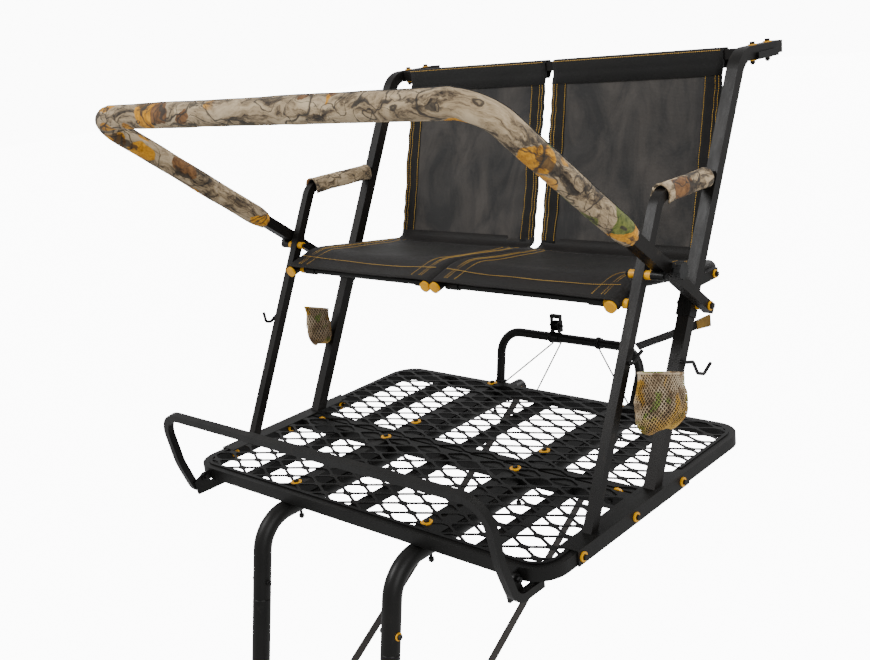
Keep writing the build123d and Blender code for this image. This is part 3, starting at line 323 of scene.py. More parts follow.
gold_print = cloth("gold_webbing", (0.006, 0.005, 0.003), (0.36, 0.20, 0.03), 160.0, 0.1, 0.6, 0.5)
camo = camouflage("camouflage_cloth", 0.9, 300.0, brightness=0.98, stretch=(1.0, 3.4, 3.4), run=True)
camo_arm = camouflage("camouflage_armrest", 1.0, 300.0, brightness=1.1, stretch=(3.0, 1.0, 3.0))
camo_net = netting("camouflage_net")
# The folded netting inside the bags: the same netting as the bags' own net, coloured darker as painted shade
# inside the pouch.
painted_shade_netting = cloth("net_bundle_painted_shade", (0.012, 0.008, 0.004), (0.16, 0.105, 0.05), 240.0, 0.1, 0.85, 0.8)
sling_mesh = open_mesh("sling_mesh")

by_slot = {
    "black_steel": black,
    "post_steel": brown_black,
    "mesh_steel": mesh_black,
    "brace_steel": brace_coat,
    "bolt_steel": bolt_black,
    "amber_plastic": amber,
    "black_plastic": dark_plastic,
    "seat_cloth": seat_cloth,
    "back_mesh": sling_mesh,
    "camo_foam": camo,
    "camo_net": camo_net,
    "armrest_foam": foam,
    "webbing": webbing,
    "rope": cord_weave,
}
for row in frame["record"]["subparts"]:
    node = frame["nodes"][row["node"]]
    for place in node.material_slots:
        place.material = by_slot[row["material_slot"]]


# ---------------------------------------------------------------- mesh helpers

def mesh_object(name, vertices, faces, material, body="stand", smooth=True):
    data = bpy.data.meshes.new(name)
    data.from_pydata([tuple(v) for v in vertices], [], faces)
    data.validate()
    data.update()
    for face in data.polygons:
        face.use_smooth = smooth
    data.materials.append(material)
    made = bpy.data.objects.new(name, data)
    bpy.context.scene.collection.objects.link(made)
    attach(made, body)
    return made


def apply_modifiers(made):
    """Bakes an object's modifiers into its mesh."""
    graph = bpy.context.evaluated_depsgraph_get()
    data = bpy.data.meshes.new_from_object(made.evaluated_get(graph))
    made.modifiers.clear()
    made.data = data
    for face in data.polygons:
        face.use_smooth = True
    return made


def grid_faces(rows, columns, closed=False):
    faces = []
    for r in range(rows - 1):
        for c in range(columns if closed else columns - 1):
            following = (c + 1) % columns
            faces.append((r * columns + c, r * columns + following,
                          (r + 1) * columns + following, (r + 1) * columns + c))
    return faces


def sheet_object(name, rows, material, thickness):
    """A cloth surface through rows of points, thickened evenly on both sides."""
    columns = len(rows[0])
    made = mesh_object(name, [p for row in rows for p in row], grid_faces(len(rows), columns), material)
    solid = made.modifiers.new("thickness", "SOLIDIFY")
    solid.thickness = thickness
    solid.offset = 0.0
    return apply_modifiers(made)


def frames_along(points):
    """A tangent and two steady cross directions at each point of a path."""
    found = []
    side = None
    for i, point in enumerate(points):
        ahead = points[min(i + 1, len(points) - 1)] - points[max(i - 1, 0)]
        ahead.normalize()
        if side is None:
            side = ahead.orthogonal().normalized()
        side = (side - ahead * side.dot(ahead)).normalized()
        found.append((point, ahead, side, ahead.cross(side)))
    return found


# The radius that a pattern takes every tube to have.
RUN_R = 0.03


def tube_object(name, points, radius, material, body="stand", around=24):
    """A tube along a path. radius is a number or a function of (share along, angle)."""
    vertices = []
    frames = frames_along(points)
    total = len(frames) - 1
    for i, (point, _, side, up) in enumerate(frames):
        for k in range(around):
            turn = 2 * math.pi * k / around
            r = radius(i / total, turn) if callable(radius) else radius
            vertices.append(point + (side * math.cos(turn) + up * math.sin(turn)) * r)
    faces = grid_faces(len(frames), around, closed=True)
    faces.append(tuple(reversed(range(around))))
    faces.append(tuple(range(total * around, (total + 1) * around)))
    made = mesh_object(name, vertices, faces, material, body)
    # Where each point is along and round the tube, for a pattern that follows it.
    run = made.data.attributes.new("run", "FLOAT_VECTOR", "POINT")
    travelled = 0.0
    for i, (point, *_) in enumerate(frames):
        travelled += (point - frames[max(i - 1, 0)][0]).length
        for k in range(around):
            turn = 2 * math.pi * k / around
            run.data[i * around + k].vector = (travelled, math.cos(turn) * RUN_R, math.sin(turn) * RUN_R)
    return made


def spaced(points, step):
    """Points at an even spacing along a polyline."""
    found = [points[0].copy()]
    left = step
    for a, b in zip(points, points[1:]):
        length = (b - a).length
        while length > left:
            a = a + (b - a).normalized() * left
            length -= left
            left = step
            found.append(a.copy())
        left -= length
    return found


def rounded_path(corners, radius, steps):
    """A path through corners, each rounded by an arc of the given radius."""
    points = [corners[0].copy()]
    for before, corner, after in zip(corners, corners[1:], corners[2:]):
        into = (before - corner).normalized()
        out = (after - corner).normalized()
        half = into.angle(out) / 2
        reach = radius / math.tan(half)
        centre = corner + (into + out).normalized() * (radius / math.sin(half))
        first = corner + into * reach - centre
        last = corner + out * reach - centre
        for k in range(steps + 1):
            share = k / steps
            angle = first.angle(last)
            turned = first * math.sin((1 - share) * angle) + last * math.sin(share * angle)
            points.append(centre + turned / math.sin(angle))
    points.append(corners[-1].copy())
    return points


STITCH_PITCH = 0.0062
STITCH = 0.0046
THREAD_R = 0.0008
# A stitch's cross-section, flat below, and its places along the stitch with their sizes.
STITCH_RING = ((-1, 0), (-0.5, 0.9), (0.5, 0.9), (1, 0), (0.5, -0.6), (-0.5, -0.6))
STITCH_PLACES = ((0.0, 0.35), (0.22, 1.0), (0.78, 1.0), (1.0, 0.35))


def stitches(name, lines, up):
    """Rows of short thread stitches lying just proud of the cloth."""
    lift = up.normalized()
    wide = len(STITCH_RING)
    vertices = []
    faces = []
    for line in lines:
        points = spaced(line, STITCH_PITCH)
        for a, b in zip(points, points[1:]):
            ahead = (b - a).normalized()
            side = ahead.cross(lift).normalized()
            start = len(vertices)
            for along, size in STITCH_PLACES:
                for across, rise in STITCH_RING:
                    vertices.append(a + ahead * (along * STITCH) + side * (across * THREAD_R * size)
                                    + lift * (rise * THREAD_R * size))
            rings = len(STITCH_PLACES)
            faces += [tuple(start + n for n in face) for face in grid_faces(rings, wide, closed=True)]
            faces.append(tuple(start + k for k in reversed(range(wide))))
            faces.append(tuple(start + (rings - 1) * wide + k for k in range(wide)))
    return mesh_object(name, vertices, faces, thread)


def wobble(point, scale, amount, seed):
    """Smooth repeatable unevenness at a place."""
    return noise.noise(point * scale + Vector((seed, seed * 1.7, -seed))) * amount


# ---------------------------------------------------------------- seats

SEAT_LINE = ((-0.008, 0.489), (0.095, 0.520), (0.455, 0.467))
SEAT_BEND = 0.16
TUBE_R = 0.016
SEAT_X = {"left": (-0.565, -0.0175), "right": (0.0175, 0.565)}
SEAT_LIFT = 0.0022
SEAT_STITCH_LIFT = 0.0022
SEAT_THICK = 0.0030
SAG = 0.014
WRAP = math.radians(115)
WRAP_STEPS = 10
SEAT_STEPS = 36
# How far each line of stitches is from the seat cloth's side edges.
SEAT_STITCHES = (0.024, 0.033, 0.060)
SEAT_FRONT_STITCH_Y = 0.044
BACK_FOOT = Vector((0.0, 0.4718, 0.505))
BACK_HEAD = Vector((0.0, 0.6000, 0.981))
BACK_X = {"left": (-0.553, -0.014), "right": (0.014, 0.553)}
TOP_BAR = Vector((0.0, 0.612, 0.994))
BAND = 0.050


def seat_centre_line():
    """The seat tubes' centre line with its rounded crown, from front to rear."""
    corners = [Vector((0, y, z)) for y, z in SEAT_LINE]
    return spaced(rounded_path(corners, SEAT_BEND, 16), 0.012)


def seat_fall(share, t, x, y, x_low):
    """How far the cloth lies below the line over its tubes, and its ripple."""
    sag = SAG * math.sin(math.pi * min(1.0, share * 1.1)) ** 0.8 if share < 0.9 else SAG * 0.45
    fall = sag * max(0.0, 1 - (2 * t - 1) ** 2) ** 0.75
    return fall, wobble(Vector((x, y, 0.0)), 9.0, 0.0022, x_low)


def seat_rows(x_low, x_high):
    """Rows of points of one seat cloth: round both tubes, with a sag between them."""
    line = seat_centre_line()
    last = len(line) - 1
    r = TUBE_R + SEAT_LIFT
    turns = [WRAP * k / WRAP_STEPS for k in range(WRAP_STEPS + 1)]
    rows = []
    for i, centre in enumerate(line):
        ahead = (line[min(i + 1, last)] - line[max(i - 1, 0)]).normalized()
        up = Vector((0, -ahead.z, ahead.y))

        def over_tube(x, turn):
            return Vector((x + r * math.sin(turn), centre.y, centre.z)) + up * (r * math.cos(turn))

        row = [over_tube(x_low, turn - WRAP) for turn in turns]
        for k in range(1, SEAT_STEPS):
            t = k / SEAT_STEPS
            x = x_low + (x_high - x_low) * t
            fall, ripple = seat_fall(i / last, t, x, centre.y, x_low)
            row.append(Vector((x, centre.y, centre.z)) + up * (r - fall + ripple))
        row += [over_tube(x_high, turn) for turn in turns]
        rows.append([DECK_ORIGIN + p for p in row])
    return rows


def seat_surface_point(x, y, x_low, x_high):
    """A point just above one seat cloth, for its stitches."""
    line = seat_centre_line()
    near = min(range(len(line)), key=lambda i: abs(line[i].y - y))
    centre = line[near]
    t = (x - x_low) / (x_high - x_low)
    fall, ripple = seat_fall(near / (len(line) - 1), t, x, centre.y, x_low)
    return deck(x, y, centre.z + TUBE_R + SEAT_LIFT - fall + ripple + SEAT_STITCH_LIFT)


for name, (x_low, x_high) in SEAT_X.items():
    seat = sheet_object(f"seat_cloth_{name}", seat_rows(x_low, x_high), seat_cloth, SEAT_THICK)
    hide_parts(f"seat_sling_{name}")
    stitch_xs = [x_low + inset for inset in SEAT_STITCHES] + [x_high - inset for inset in SEAT_STITCHES]
    lines = [[seat_surface_point(x, 0.004 + 0.012 * k, x_low, x_high) for k in range(37)] for x in stitch_xs]
    across = [x_low + (x_high - x_low) * k / 40 for k in range(41)]
    lines.append([seat_surface_point(x, SEAT_FRONT_STITCH_Y, x_low, x_high) for x in across])
    sewing = stitches(f"seat_stitching_{name}", lines, Vector((0, 0.1, 1)))


# ---------------------------------------------------------------- backs

back_up = (BACK_HEAD - BACK_FOOT).normalized()
back_out = Vector((0, -back_up.z, back_up.y))
back_length = (BACK_HEAD - BACK_FOOT).length
BAND_STITCHES = (0.008, 0.018, 0.047)
BACK_GRID = 40
HEADER_GRID = 30
# The header's section, up its face and round the top bar: along and out from the back's head, then
# behind and above the bar's centre.
HEADER_FOOT = ((-0.040, 0.0035), (-0.012, 0.0035))
HEADER_ROUND = (
    (-0.0155, -0.014),
    (-0.0165, 0.009),
    (-0.010, 0.0162),
    (0.010, 0.0162),
    (0.0165, 0.009),
    (0.0155, -0.014),
    (0.001, -0.034),
)


def back_hollow(x, x_low, x_high, along):
    """How far the cloth bellies backwards at a place, with creases near its sewn sides."""
    t = (x - x_low) / (x_high - x_low)
    s = max(0.0, min(1.0, along / back_length))
    belly = 0.012 * (1 - (2 * t - 1) ** 2) * math.sin(math.pi * s)
    drawn = 0.0022 * math.sin(along * 95 + 3 * math.sin(along * 17 + x_low)) * math.exp(-min(t, 1 - t) / 0.09)
    creases = 0.0026 * noise.noise(Vector((x * 5 + along * 9, x_low, along * 16 - x * 11)))
    return -belly + drawn + creases + wobble(Vector((x, 0.0, along)), 7.0, 0.004, x_low)


def back_point(x, along, out):
    """A point at a place up the back from its foot and out from its flat plane."""
    return DECK_ORIGIN + Vector((x, 0, 0)) + BACK_FOOT + back_up * along + back_out * out


def back_rows(sides, x0, x1, low, out, columns):
    """Rows of points on one back's cloth, from a height up to its head."""
    rows = []
    for r in range(BACK_GRID):
        along = low + (back_length - low) * r / (BACK_GRID - 1)
        xs = [x0 + (x1 - x0) * c / (columns - 1) for c in range(columns)]
        rows.append([back_point(x, along, back_hollow(x, *sides, along) + out) for x in xs])
    return rows


for name, (x_low, x_high) in BACK_X.items():
    sides = (x_low, x_high)
    panel_rows = back_rows(sides, x_low + 0.01, x_high - 0.01, -0.01, 0, BACK_GRID)
    panel = sheet_object(f"back_panel_{name}", panel_rows, sling_mesh, 0.0014)
    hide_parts(f"back_sling_{name}")
    for edge, x0, x1 in (("outer", x_low, x_low + BAND), ("inner", x_high - BAND, x_high)):
        band = sheet_object(f"back_band_{name}_{edge}", back_rows(sides, x0, x1, -0.012, 0.0005, 6),
                            webbing, 0.0042)
    header = []
    for k in range(HEADER_GRID):
        x = x_low + (x_high - x_low) * k / (HEADER_GRID - 1)
        column = [
            back_point(x, back_length + along, out + back_hollow(x, *sides, back_length + along))
            for along, out in HEADER_FOOT
        ]
        column += [
            DECK_ORIGIN + Vector((x, 0, 0)) + Vector((0, TOP_BAR.y + behind, TOP_BAR.z + above))
            for behind, above in HEADER_ROUND
        ]
        header.append(column)
    top = sheet_object(f"back_header_{name}", header, webbing, 0.0030)
    stitch_xs = [x_low + inset for inset in BAND_STITCHES] + [x_high - inset for inset in BAND_STITCHES]
    heights = [back_length * k / 60 for k in range(60)]
    lines = [
        [back_point(x, along, back_hollow(x, *sides, along) + 0.0032) for along in heights]
        for x in stitch_xs
    ]
    lines.append([
        deck(x_low + (x_high - x_low) * k / 50, TOP_BAR.y - 0.0175, TOP_BAR.z + 0.0125) for k in range(51)
    ])
    sewing = stitches(f"back_stitching_{name}", lines, back_out)
    # The cloth turns from the back into the rear of the seat.
    join = []
    for k in range(HEADER_GRID):
        share = k / (HEADER_GRID - 1)
        x = x_low + (x_high - x_low) * k / (HEADER_GRID - 1)
        join.append([
            back_point(x, 0.008, 0.0015),
            back_point(x, -0.006, 0.002),
            deck(x, 0.462, 0.493),
            deck(x, 0.446, 0.488 - 0.004 * math.sin(math.pi * share)),
            deck(x, 0.420, 0.4895 - 0.006 * math.sin(math.pi * share)),
        ])
    turn = sheet_object(f"seat_turn_{name}", join, seat_cloth, 0.0024)


# ---------------------------------------------------------------- shooting rail pad

TILT = math.radians(37.4)
PIVOT = Vector((0, 0.274, 0.422))
ALONG = Vector((0, -math.cos(TILT), math.sin(TILT)))
RAIL_X = 0.650
RAIL_FRONT = 0.982
PAD_START = {-1: 0.362, 1: 0.398}
PAD_BEND = 0.080
PAD_STEP = 0.008
PAD_END_R = 0.0235
PAD_ARM_R = 0.0292
PAD_FRONT_R = 0.0305
PAD_GATHER = 0.045
PAD_SEAM_TURN = math.radians(250)


def rail_point(along, x):
    return DECK_ORIGIN + PIVOT + ALONG * along + Vector((x, 0, 0))


pad_corners = [
    rail_point(PAD_START[-1], -RAIL_X),
    rail_point(RAIL_FRONT, -RAIL_X),
    rail_point(RAIL_FRONT, RAIL_X),
    rail_point(PAD_START[1], RAIL_X),
]
pad_line = spaced(rounded_path(pad_corners, PAD_BEND, 16), PAD_STEP)
pad_total = len(pad_line) * PAD_STEP


def pad_radius(share, turn):
    """Foam in a cloth sleeve: full along its length, gathered in at both ends, a little lumpy."""
    ends = min(share, 1 - share) * pad_total
    gather = min(1.0, ends / PAD_GATHER)
    full = PAD_FRONT_R if 0.25 < share < 0.75 else PAD_ARM_R
    r = PAD_END_R + (full - PAD_END_R) * math.sin(gather * math.pi / 2)
    where = Vector((share * pad_total * 9, math.cos(turn) * 1.2, math.sin(turn) * 1.2))
    pleats = 0.0012 * math.sin(turn * 9 + share * 40) * (1 - gather)
    return r + noise.noise(where) * 0.0016 + noise.noise(where * 3.1) * 0.0006 + pleats


pad = tube_object("rail_pad_cloth", pad_line, pad_radius, camo, body="rail", around=32)
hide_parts("rail_pad")
seam_line = []
for i, (point, _, side, up) in enumerate(frames_along(pad_line)):
    out = pad_radius(i / (len(pad_line) - 1), PAD_SEAM_TURN) + 0.0004
    seam_line.append(point + (side * math.cos(PAD_SEAM_TURN) + up * math.sin(PAD_SEAM_TURN)) * out)
seam = tube_object("rail_pad_seam", seam_line, 0.0011, webbing, body="rail", around=6)


# ---------------------------------------------------------------- armrest pads

PAD_Z = 0.716
ARM_X = 0.602
ARM_PAD_FRONT = {-1: 0.149, 1: 0.173}
ARM_PAD_REAR = 0.384
CLOTH_WALL = 0.0052
SLEEVE_R = 0.0246
SLEEVE_TURN = math.radians(148)
CORE_R = 0.0189
CORE_TURN = math.radians(140)


def armrest(name, side):
    """A padded camouflage sleeve saddled over the arm, open below, its lower edges flared apart."""
    front = ARM_PAD_FRONT[side]
    long = ARM_PAD_REAR - front
    columns = 29
    rings = 44
    rows = []
    for i in range(rings):
        s = i / (rings - 1)
        y = front + long * s
        near_end = min(s, 1 - s) * long
        lip = 0.0016 * math.exp(-near_end / 0.006)
        flare = 0.006 * math.exp(-s * long / 0.045)
        outer = []
        inner = []
        for k in range(columns):
            t = 2 * k / (columns - 1) - 1
            cx, cz = math.sin(t * SLEEVE_TURN), math.cos(t * SLEEVE_TURN)
            open_out = max(0.0, abs(t) - 0.55) / 0.45
            where = Vector((cx * 0.06, y, cz * 0.06 + side))
            r = SLEEVE_R + lip + noise.noise(where * 30.0) * 0.0013 + noise.noise(where * 85.0) * 0.0005
            spread = math.copysign(flare + 0.0022, cx) * open_out ** 1.4 if t else 0.0
            outer.append(deck(side * ARM_X + cx * r + spread, y, PAD_Z + cz * r))
            r -= CLOTH_WALL
            inner.append(deck(side * ARM_X + cx * r + spread * 0.9, y, PAD_Z + cz * r))
        rows.append(outer + inner[::-1])
    wide = 2 * columns
    faces = grid_faces(rings, wide, closed=True)
    for base, flip in ((0, False), ((rings - 1) * wide, True)):
        for k in range(columns - 1):
            face = (base + k, base + wide - 1 - k, base + wide - 2 - k, base + k + 1)
            faces.append(tuple(reversed(face)) if flip else face)
    made = mesh_object(f"armrest_sleeve_{name}", [p for row in rows for p in row], faces, camo_arm)
    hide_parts(f"armrest_pad_{name}")
    # The foam shows inside the open end, a little way back from the cloth's edge.
    turns = [CORE_TURN * (2 * k / 20 - 1) for k in range(21)]
    core_rows = []
    for i in range(10):
        y = front + 0.004 + (long - 0.006) * i / 9
        core_rows.append([
            deck(side * ARM_X + math.sin(turn) * CORE_R, y, PAD_Z + math.cos(turn) * CORE_R) for turn in turns
        ])
    core = sheet_object(f"armrest_core_{name}", core_rows, foam, 0.0012)


armrest("left", -1)
armrest("right", 1)


# ---------------------------------------------------------------- net bags

# Where each bag's front and rear edges start and end, as y and z, and how its net is made.
NET_BAGS = {
    "right": {
        "corners": ((-0.062, 0.358), (0.140, 0.292), (-0.078, 0.200), (0.136, 0.168)),
        "x_mid": 0.658,
        "half_thick": 0.028,
        "seed": 1.3,
        "girth": 44,
        "strand": 0.0011,
    },
    "left": {
        "corners": ((0.060, 0.354), (0.154, 0.322), (0.058, 0.226), (0.148, 0.212)),
        "x_mid": -0.614,
        "half_thick": 0.020,
        "seed": 6.1,
        "girth": 26,
        "strand": 0.0010,
    },
}
# How many meshes deep a net is for each mesh round it.
NET_DEPTH = 0.6
HEM_R = 0.0026


def bag_surface(corners, x_mid, half_thick, seed):
    """A pouch: hung from a level hem, drawn in a little below it, fullest near its rounded bottom."""
    top_front, top_rear, low_front, low_rear = (Vector((0, y, z)) for y, z in corners)

    def at(s, turn):
        front = top_front.lerp(low_front, s)
        rear = top_rear.lerp(low_rear, s)
        across = (rear - front) / 2
        closing = (1 - s ** 7) ** 0.5
        waist = 1.0 - 0.10 * math.exp(-((s - 0.22) / 0.14) ** 2) + 0.05 * math.exp(-((s - 0.74) / 0.2) ** 2)
        full = (0.34 + 0.66 * math.sin(math.pi * min(1.0, s * 0.62 + 0.06))) * closing
        lump = Vector((math.cos(turn) * 1.7, math.sin(turn) * 1.7, s * 3.0 + seed))
        bulge = 1 + 0.11 * noise.noise(lump) + 0.06 * noise.noise(lump * 2.7)
        drop = 0.010 * noise.noise(Vector((math.cos(turn) * 1.3, math.sin(turn), seed + 4))) * s
        place = front.lerp(rear, 0.5) + across * (math.cos(turn) * waist * (0.30 + 0.70 * closing) * bulge)
        return deck(x_mid + math.sin(turn) * half_thick * full * bulge, place.y, place.z + drop)

    return at


def net_bag(name, girth, strand, seed, **shape):
    """A netting pouch with a rolled hem, and the folded netting inside it that fills it out, coloured darker
    than the pouch's net as painted shade inside the pouch.
    """
    at = bag_surface(seed=seed, **shape)
    rows = 30
    around = 48
    inside = []
    for i in range(rows):
        s = 0.02 + 0.975 * i / (rows - 1)
        for k in range(around):
            turn = 2 * math.pi * k / around
            skin = at(s, turn)
            heart = at(s, turn + math.pi)
            fold = noise.noise(Vector((math.cos(turn) * 3.4, math.sin(turn) * 3.4, s * 8 + seed)))
            inside.append(skin.lerp(heart, 0.022 + 0.05 * max(0.0, fold)))
    faces = grid_faces(rows, around, closed=True)
    faces.append(tuple(reversed(range(around))))
    faces.append(tuple(range((rows - 1) * around, rows * around)))
    # The folded netting that fills the pouch, its dark colour painted shade from the net around it.
    bundle = mesh_object(f"net_bundle_painted_shade_{name}", inside, faces, painted_shade_netting)
    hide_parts(f"net_bag_{name}")

    strands = []
    levels = round(girth * NET_DEPTH)
    for lean in (1, -1):
        for k in range(girth):
            line = []
            for i in range(levels * 2 + 1):
                s = i / (levels * 2) * 0.992
                line.append(at(s, 2 * math.pi * (k + lean * s * levels / 2) / girth))
            strands.append(line)
    data = bpy.data.curves.new(f"net_skin_{name}", "CURVE")
    data.dimensions = "3D"
    data.bevel_depth = strand
    data.bevel_resolution = 0
    for line in strands:
        spline = data.splines.new("POLY")
        spline.points.add(len(line) - 1)
        for point, place in zip(spline.points, line):
            point.co = (*place, 1.0)
    bare = bpy.data.objects.new(f"net_curves_{name}", data)
    bpy.context.scene.collection.objects.link(bare)
    graph = bpy.context.evaluated_depsgraph_get()
    mesh = bpy.data.meshes.new_from_object(bare.evaluated_get(graph))
    bpy.data.objects.remove(bare)
    mesh.materials.clear()
    mesh.materials.append(camo_net)
    skin = bpy.data.objects.new(f"net_skin_{name}", mesh)
    bpy.context.scene.collection.objects.link(skin)
    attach(skin, "stand")
    hem = [at(0.012, 2 * math.pi * k / 64) for k in range(65)]
    rim = tube_object(f"net_hem_{name}", hem, HEM_R, camo_net, around=8)


for name, shape in NET_BAGS.items():
    net_bag(name, **shape)


# ---------------------------------------------------------------- ropes and strap

def route_curve(name, route):
    """A cord's route as one smooth spline, with its points as control points."""
    data = bpy.data.curves.new(name, "CURVE")
    data.dimensions = "3D"
    spline = data.splines.new("NURBS")
    spline.points.add(len(route) - 1)
    for point, place in zip(spline.points, route):
        point.co = (*place, 1.0)
    spline.order_u = 3
    spline.use_endpoint_u = True
    made = bpy.data.objects.new(name, data)
    bpy.context.scene.collection.objects.link(made)
    return made


def rope_object(name, route):
    made = route_curve(name, route)
    made.data.bevel_depth = ROPE / 2
    made.data.bevel_resolution = 4
    made.data.use_fill_caps = True
    made.data.materials.append(cord_weave)
    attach(made, "stand")
    return made


def spline_points(route):
    """The points that Blender gives along a route's smooth spline."""
    bare = route_curve("route", route)
    graph = bpy.context.evaluated_depsgraph_get()
    line = bpy.data.meshes.new_from_object(bare.evaluated_get(graph))
    points = [vertex.co.copy() for vertex in line.vertices]
    bpy.data.objects.remove(bare)
    bpy.data.meshes.remove(line)
    return points


def rope_ring(name, centre, axis, major, turns):
    """Turns of rope round a tube, or round the rope itself for a knot."""
    axis = axis.normalized()
    side = axis.orthogonal().normalized()
    up = axis.cross(side)
    points = []
    for k in range(turns * 32 + 1):
        turn = 2 * math.pi * k / 32
        points.append(centre + (side * math.cos(turn) + up * math.sin(turn)) * major
                      + axis * ((k / 32 - turns / 2) * RING_ROPE_R * 2.1))
    made = tube_object(name, points, RING_ROPE_R, cord_weave, around=8)
    return made


ROPE = 0.005
RING_ROPE_R = 0.0024
RING_R = 0.0166
KNOT_R = 0.0032
ARCH_BAR = (0.5651, 0.170)
LEG_FOOT_Y = 0.5313
ROPE_ROUTES = {
    "left": [
        deck(-0.231, 0.5313, 0.004),
        deck(-0.194, 0.5381, 0.0334),
        deck(-0.085, 0.5583, 0.1206),
        deck(-0.048, 0.5651, 0.1502),
    ],
    "right": [
        deck(0.2372, 0.5313, 0.004),
        deck(0.2148, 0.5381, 0.0332),
        deck(0.1474, 0.5583, 0.1210),
        deck(0.125, 0.5651, 0.1502),
    ],
}
for name, leg_x in (("left", -0.250), ("right", 0.2564)):
    route = ROPE_ROUTES[name]
    rope = rope_object(f"cord_{name}", route)
    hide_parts(f"rope_{name}")
    top_x = route[-1].x
    rings = [
        rope_ring(f"cord_ring_top_{name}", deck(top_x, *ARCH_BAR), Vector((1, 0, 0)), RING_R, 2),
        rope_ring(f"cord_ring_foot_{name}", deck(leg_x, LEG_FOOT_Y, 0.004), Vector((0, 0.204, 1)),
                  RING_R, 2),
    ]
    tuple(route[0])

rear_route = [
    deck(-0.080, 0.497, 0.002),
    deck(-0.0736, 0.522, 0.0316),
    deck(-0.0544, 0.597, 0.1204),
    deck(-0.048, 0.622, 0.150),
]
rope = rope_object("cord_rear", rear_route)
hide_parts("rope_rear")
rear_end = rear_route[-1]
knot = rope_ring("cord_rear_knot", rear_end, rear_end - rear_route[0], KNOT_R, 3)
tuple(rear_route[0])


def ribbon(name, points, widths, across, material):
    """A flat strap through points, with its width and the direction across it at each."""
    vertices = []
    last = len(points) - 1
    for i, (point, wide, side) in enumerate(zip(points, widths, across)):
        ahead = (points[min(i + 1, last)] - points[max(i - 1, 0)]).normalized()
        side = (side - ahead * side.dot(ahead)).normalized()
        lift = ahead.cross(side)
        for a, b in ((-1, -1), (-0.9, 1), (0.9, 1), (1, -1)):
            vertices.append(point + side * (a * wide / 2) + lift * (b * STRAP_THICK / 2))
    faces = grid_faces(len(points), 4, closed=True)
    faces.append((3, 2, 1, 0))
    faces.append(tuple(last * 4 + k for k in range(4)))
    made = mesh_object(name, vertices, faces, material, smooth=False)
    return made


STRAP = 0.027
STRAP_THICK = 0.0022
LOOP = 0.052
LOOP_HALF = 0.0045
LOOP_FLARE = 0.012
LOOP_STEPS = 16
UPRIGHT = Vector((0, 0, 1))
strap_line = spline_points([
    deck(0.248, 0.5811, 0.170),
    deck(0.2716, 0.6273, 0.1756),
    deck(0.307, 0.6965, 0.184),
    deck(0.3424, 0.7658, 0.1924),
    deck(0.366, 0.812, 0.198),
])
strap_start = strap_line[0]
strap_end = strap_line[-1]
count = len(strap_line)
# It leaves the bar nearly flat and turns upright towards its sewn end.
twist = [Vector((0, 1, 0.42)).lerp(UPRIGHT, max(0.0, k / (count - 1) - 0.5) / 0.5) for k in range(count)]
strap = ribbon("strap_webbing", strap_line, [STRAP] * count, twist, webbing)
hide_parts("ratchet_strap")
ahead = (strap_end - strap_start).normalized()
side_way = ahead.cross(UPRIGHT).normalized()
bows = [math.pi * k / LOOP_STEPS for k in range(LOOP_STEPS + 1)]
loop_line = [
    strap_end + ahead * (LOOP * (math.sin(bow) - 1)) + side_way * (LOOP_HALF * math.cos(bow)) for bow in bows
]
widths = [STRAP + LOOP_FLARE * math.sin(bow) for bow in bows]
loop = ribbon("strap_end_loop", loop_line, widths, [UPRIGHT] * len(bows), gold_print)
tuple(strap_start)


# ---------------------------------------------------------------- stage, light and camera

# How bright the white surroundings look to the camera, without lighting the object.
BACKGROUND = 11.0
WORLD_LIGHT = 0.62
FLOOR_REACH = 60.0
floor_data = bpy.data.meshes.new("floor")
floor_corners = [(x * FLOOR_REACH, y * FLOOR_REACH, 0) for x, y in ((-1, -1), (1, -1), (1, 1), (-1, 1))]
floor_data.from_pydata(floor_corners, [], [(0, 1, 2, 3)])
floor = bpy.data.objects.new("floor", floor_data)
bpy.context.scene.collection.objects.link(floor)
floor_material, floor_tree, floor_shader, floor_place = node_material("pale_floor", Roughness=0.9)
tone = noise_of(floor_tree, floor_place, 0.8, 3.0)
floor_tree.links.new(ramp(floor_tree, tone, [(0.3, grey(0.86)), (0.7, grey(0.89))]),
                     floor_shader.inputs["Base Color"])
seen = add_node(floor_tree, "LightPath")
glow = add_node(floor_tree, "Math", [(0, seen.outputs["Is Camera Ray"])], operation="MULTIPLY")
glow.inputs[1].default_value = BACKGROUND
floor_tree.links.new(glow.outputs[0], floor_shader.inputs["Emission Strength"])
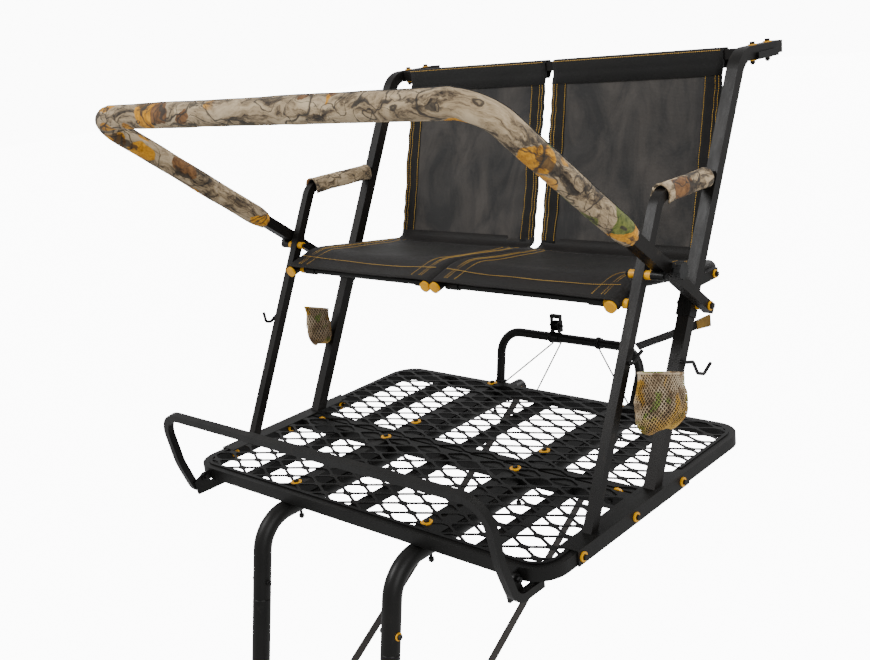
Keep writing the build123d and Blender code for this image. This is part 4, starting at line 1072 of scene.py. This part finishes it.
floor_shader.inputs["Emission Color"].default_value = (1.0, 1.0, 1.0, 1.0)
floor_data.materials.append(floor_material)

world = bpy.data.worlds.new("studio")
bpy.context.scene.world = world
world.use_nodes = True
world.node_tree.nodes["Background"].inputs["Color"].default_value = (1.0, 1.0, 1.0, 1.0)
seen = add_node(world.node_tree, "LightPath")
level = add_node(world.node_tree, "MapRange", [("Value", seen.outputs["Is Camera Ray"])])
level.inputs["To Min"].default_value = WORLD_LIGHT
level.inputs["To Max"].default_value = BACKGROUND
world.node_tree.links.new(level.outputs["Result"], world.node_tree.nodes["Background"].inputs["Strength"])


def area_light(name, place, target, size, power):
    data = bpy.data.lights.new(name, "AREA")
    data.shape = "DISK"
    data.size = size
    data.energy = power
    made = bpy.data.objects.new(name, data)
    bpy.context.scene.collection.objects.link(made)
    made.location = place
    made.rotation_euler = (target - place).to_track_quat("-Z", "Y").to_euler()


middle = deck(0, 0, 0.4)
area_light("key", deck(-2.6, -3.4, 4.2), middle, 2.4, 190.0)
area_light("fill", deck(4.2, -1.6, 2.2), middle, 3.0, 110.0)
area_light("rear", deck(1.0, 4.0, 3.4), middle, 2.6, 110.0)

LENS = 44.64
AZIMUTH = math.radians(43.766)
ELEVATION = math.radians(16.298)
ROLL = math.radians(-6.7383)
forward = Vector((
    -math.sin(AZIMUTH) * math.cos(ELEVATION),
    math.cos(AZIMUTH) * math.cos(ELEVATION),
    -math.sin(ELEVATION),
))
right = forward.cross(Vector((0, 0, 1))).normalized()
upward = right.cross(forward)
camera_x = right * math.cos(ROLL) + upward * math.sin(ROLL)
camera_y = upward * math.cos(ROLL) - right * math.sin(ROLL)
camera_data = bpy.data.cameras.new("camera")
camera_data.lens = LENS
camera_data.sensor_width = 36.0
camera_data.clip_end = 200.0
camera = bpy.data.objects.new("camera", camera_data)
bpy.context.scene.collection.objects.link(camera)
camera.matrix_world = Matrix.Translation(deck(1.92345, -2.01883, 1.18150)) @ Matrix(
    (camera_x, camera_y, -forward)
).transposed().to_4x4()
bpy.context.scene.camera = camera
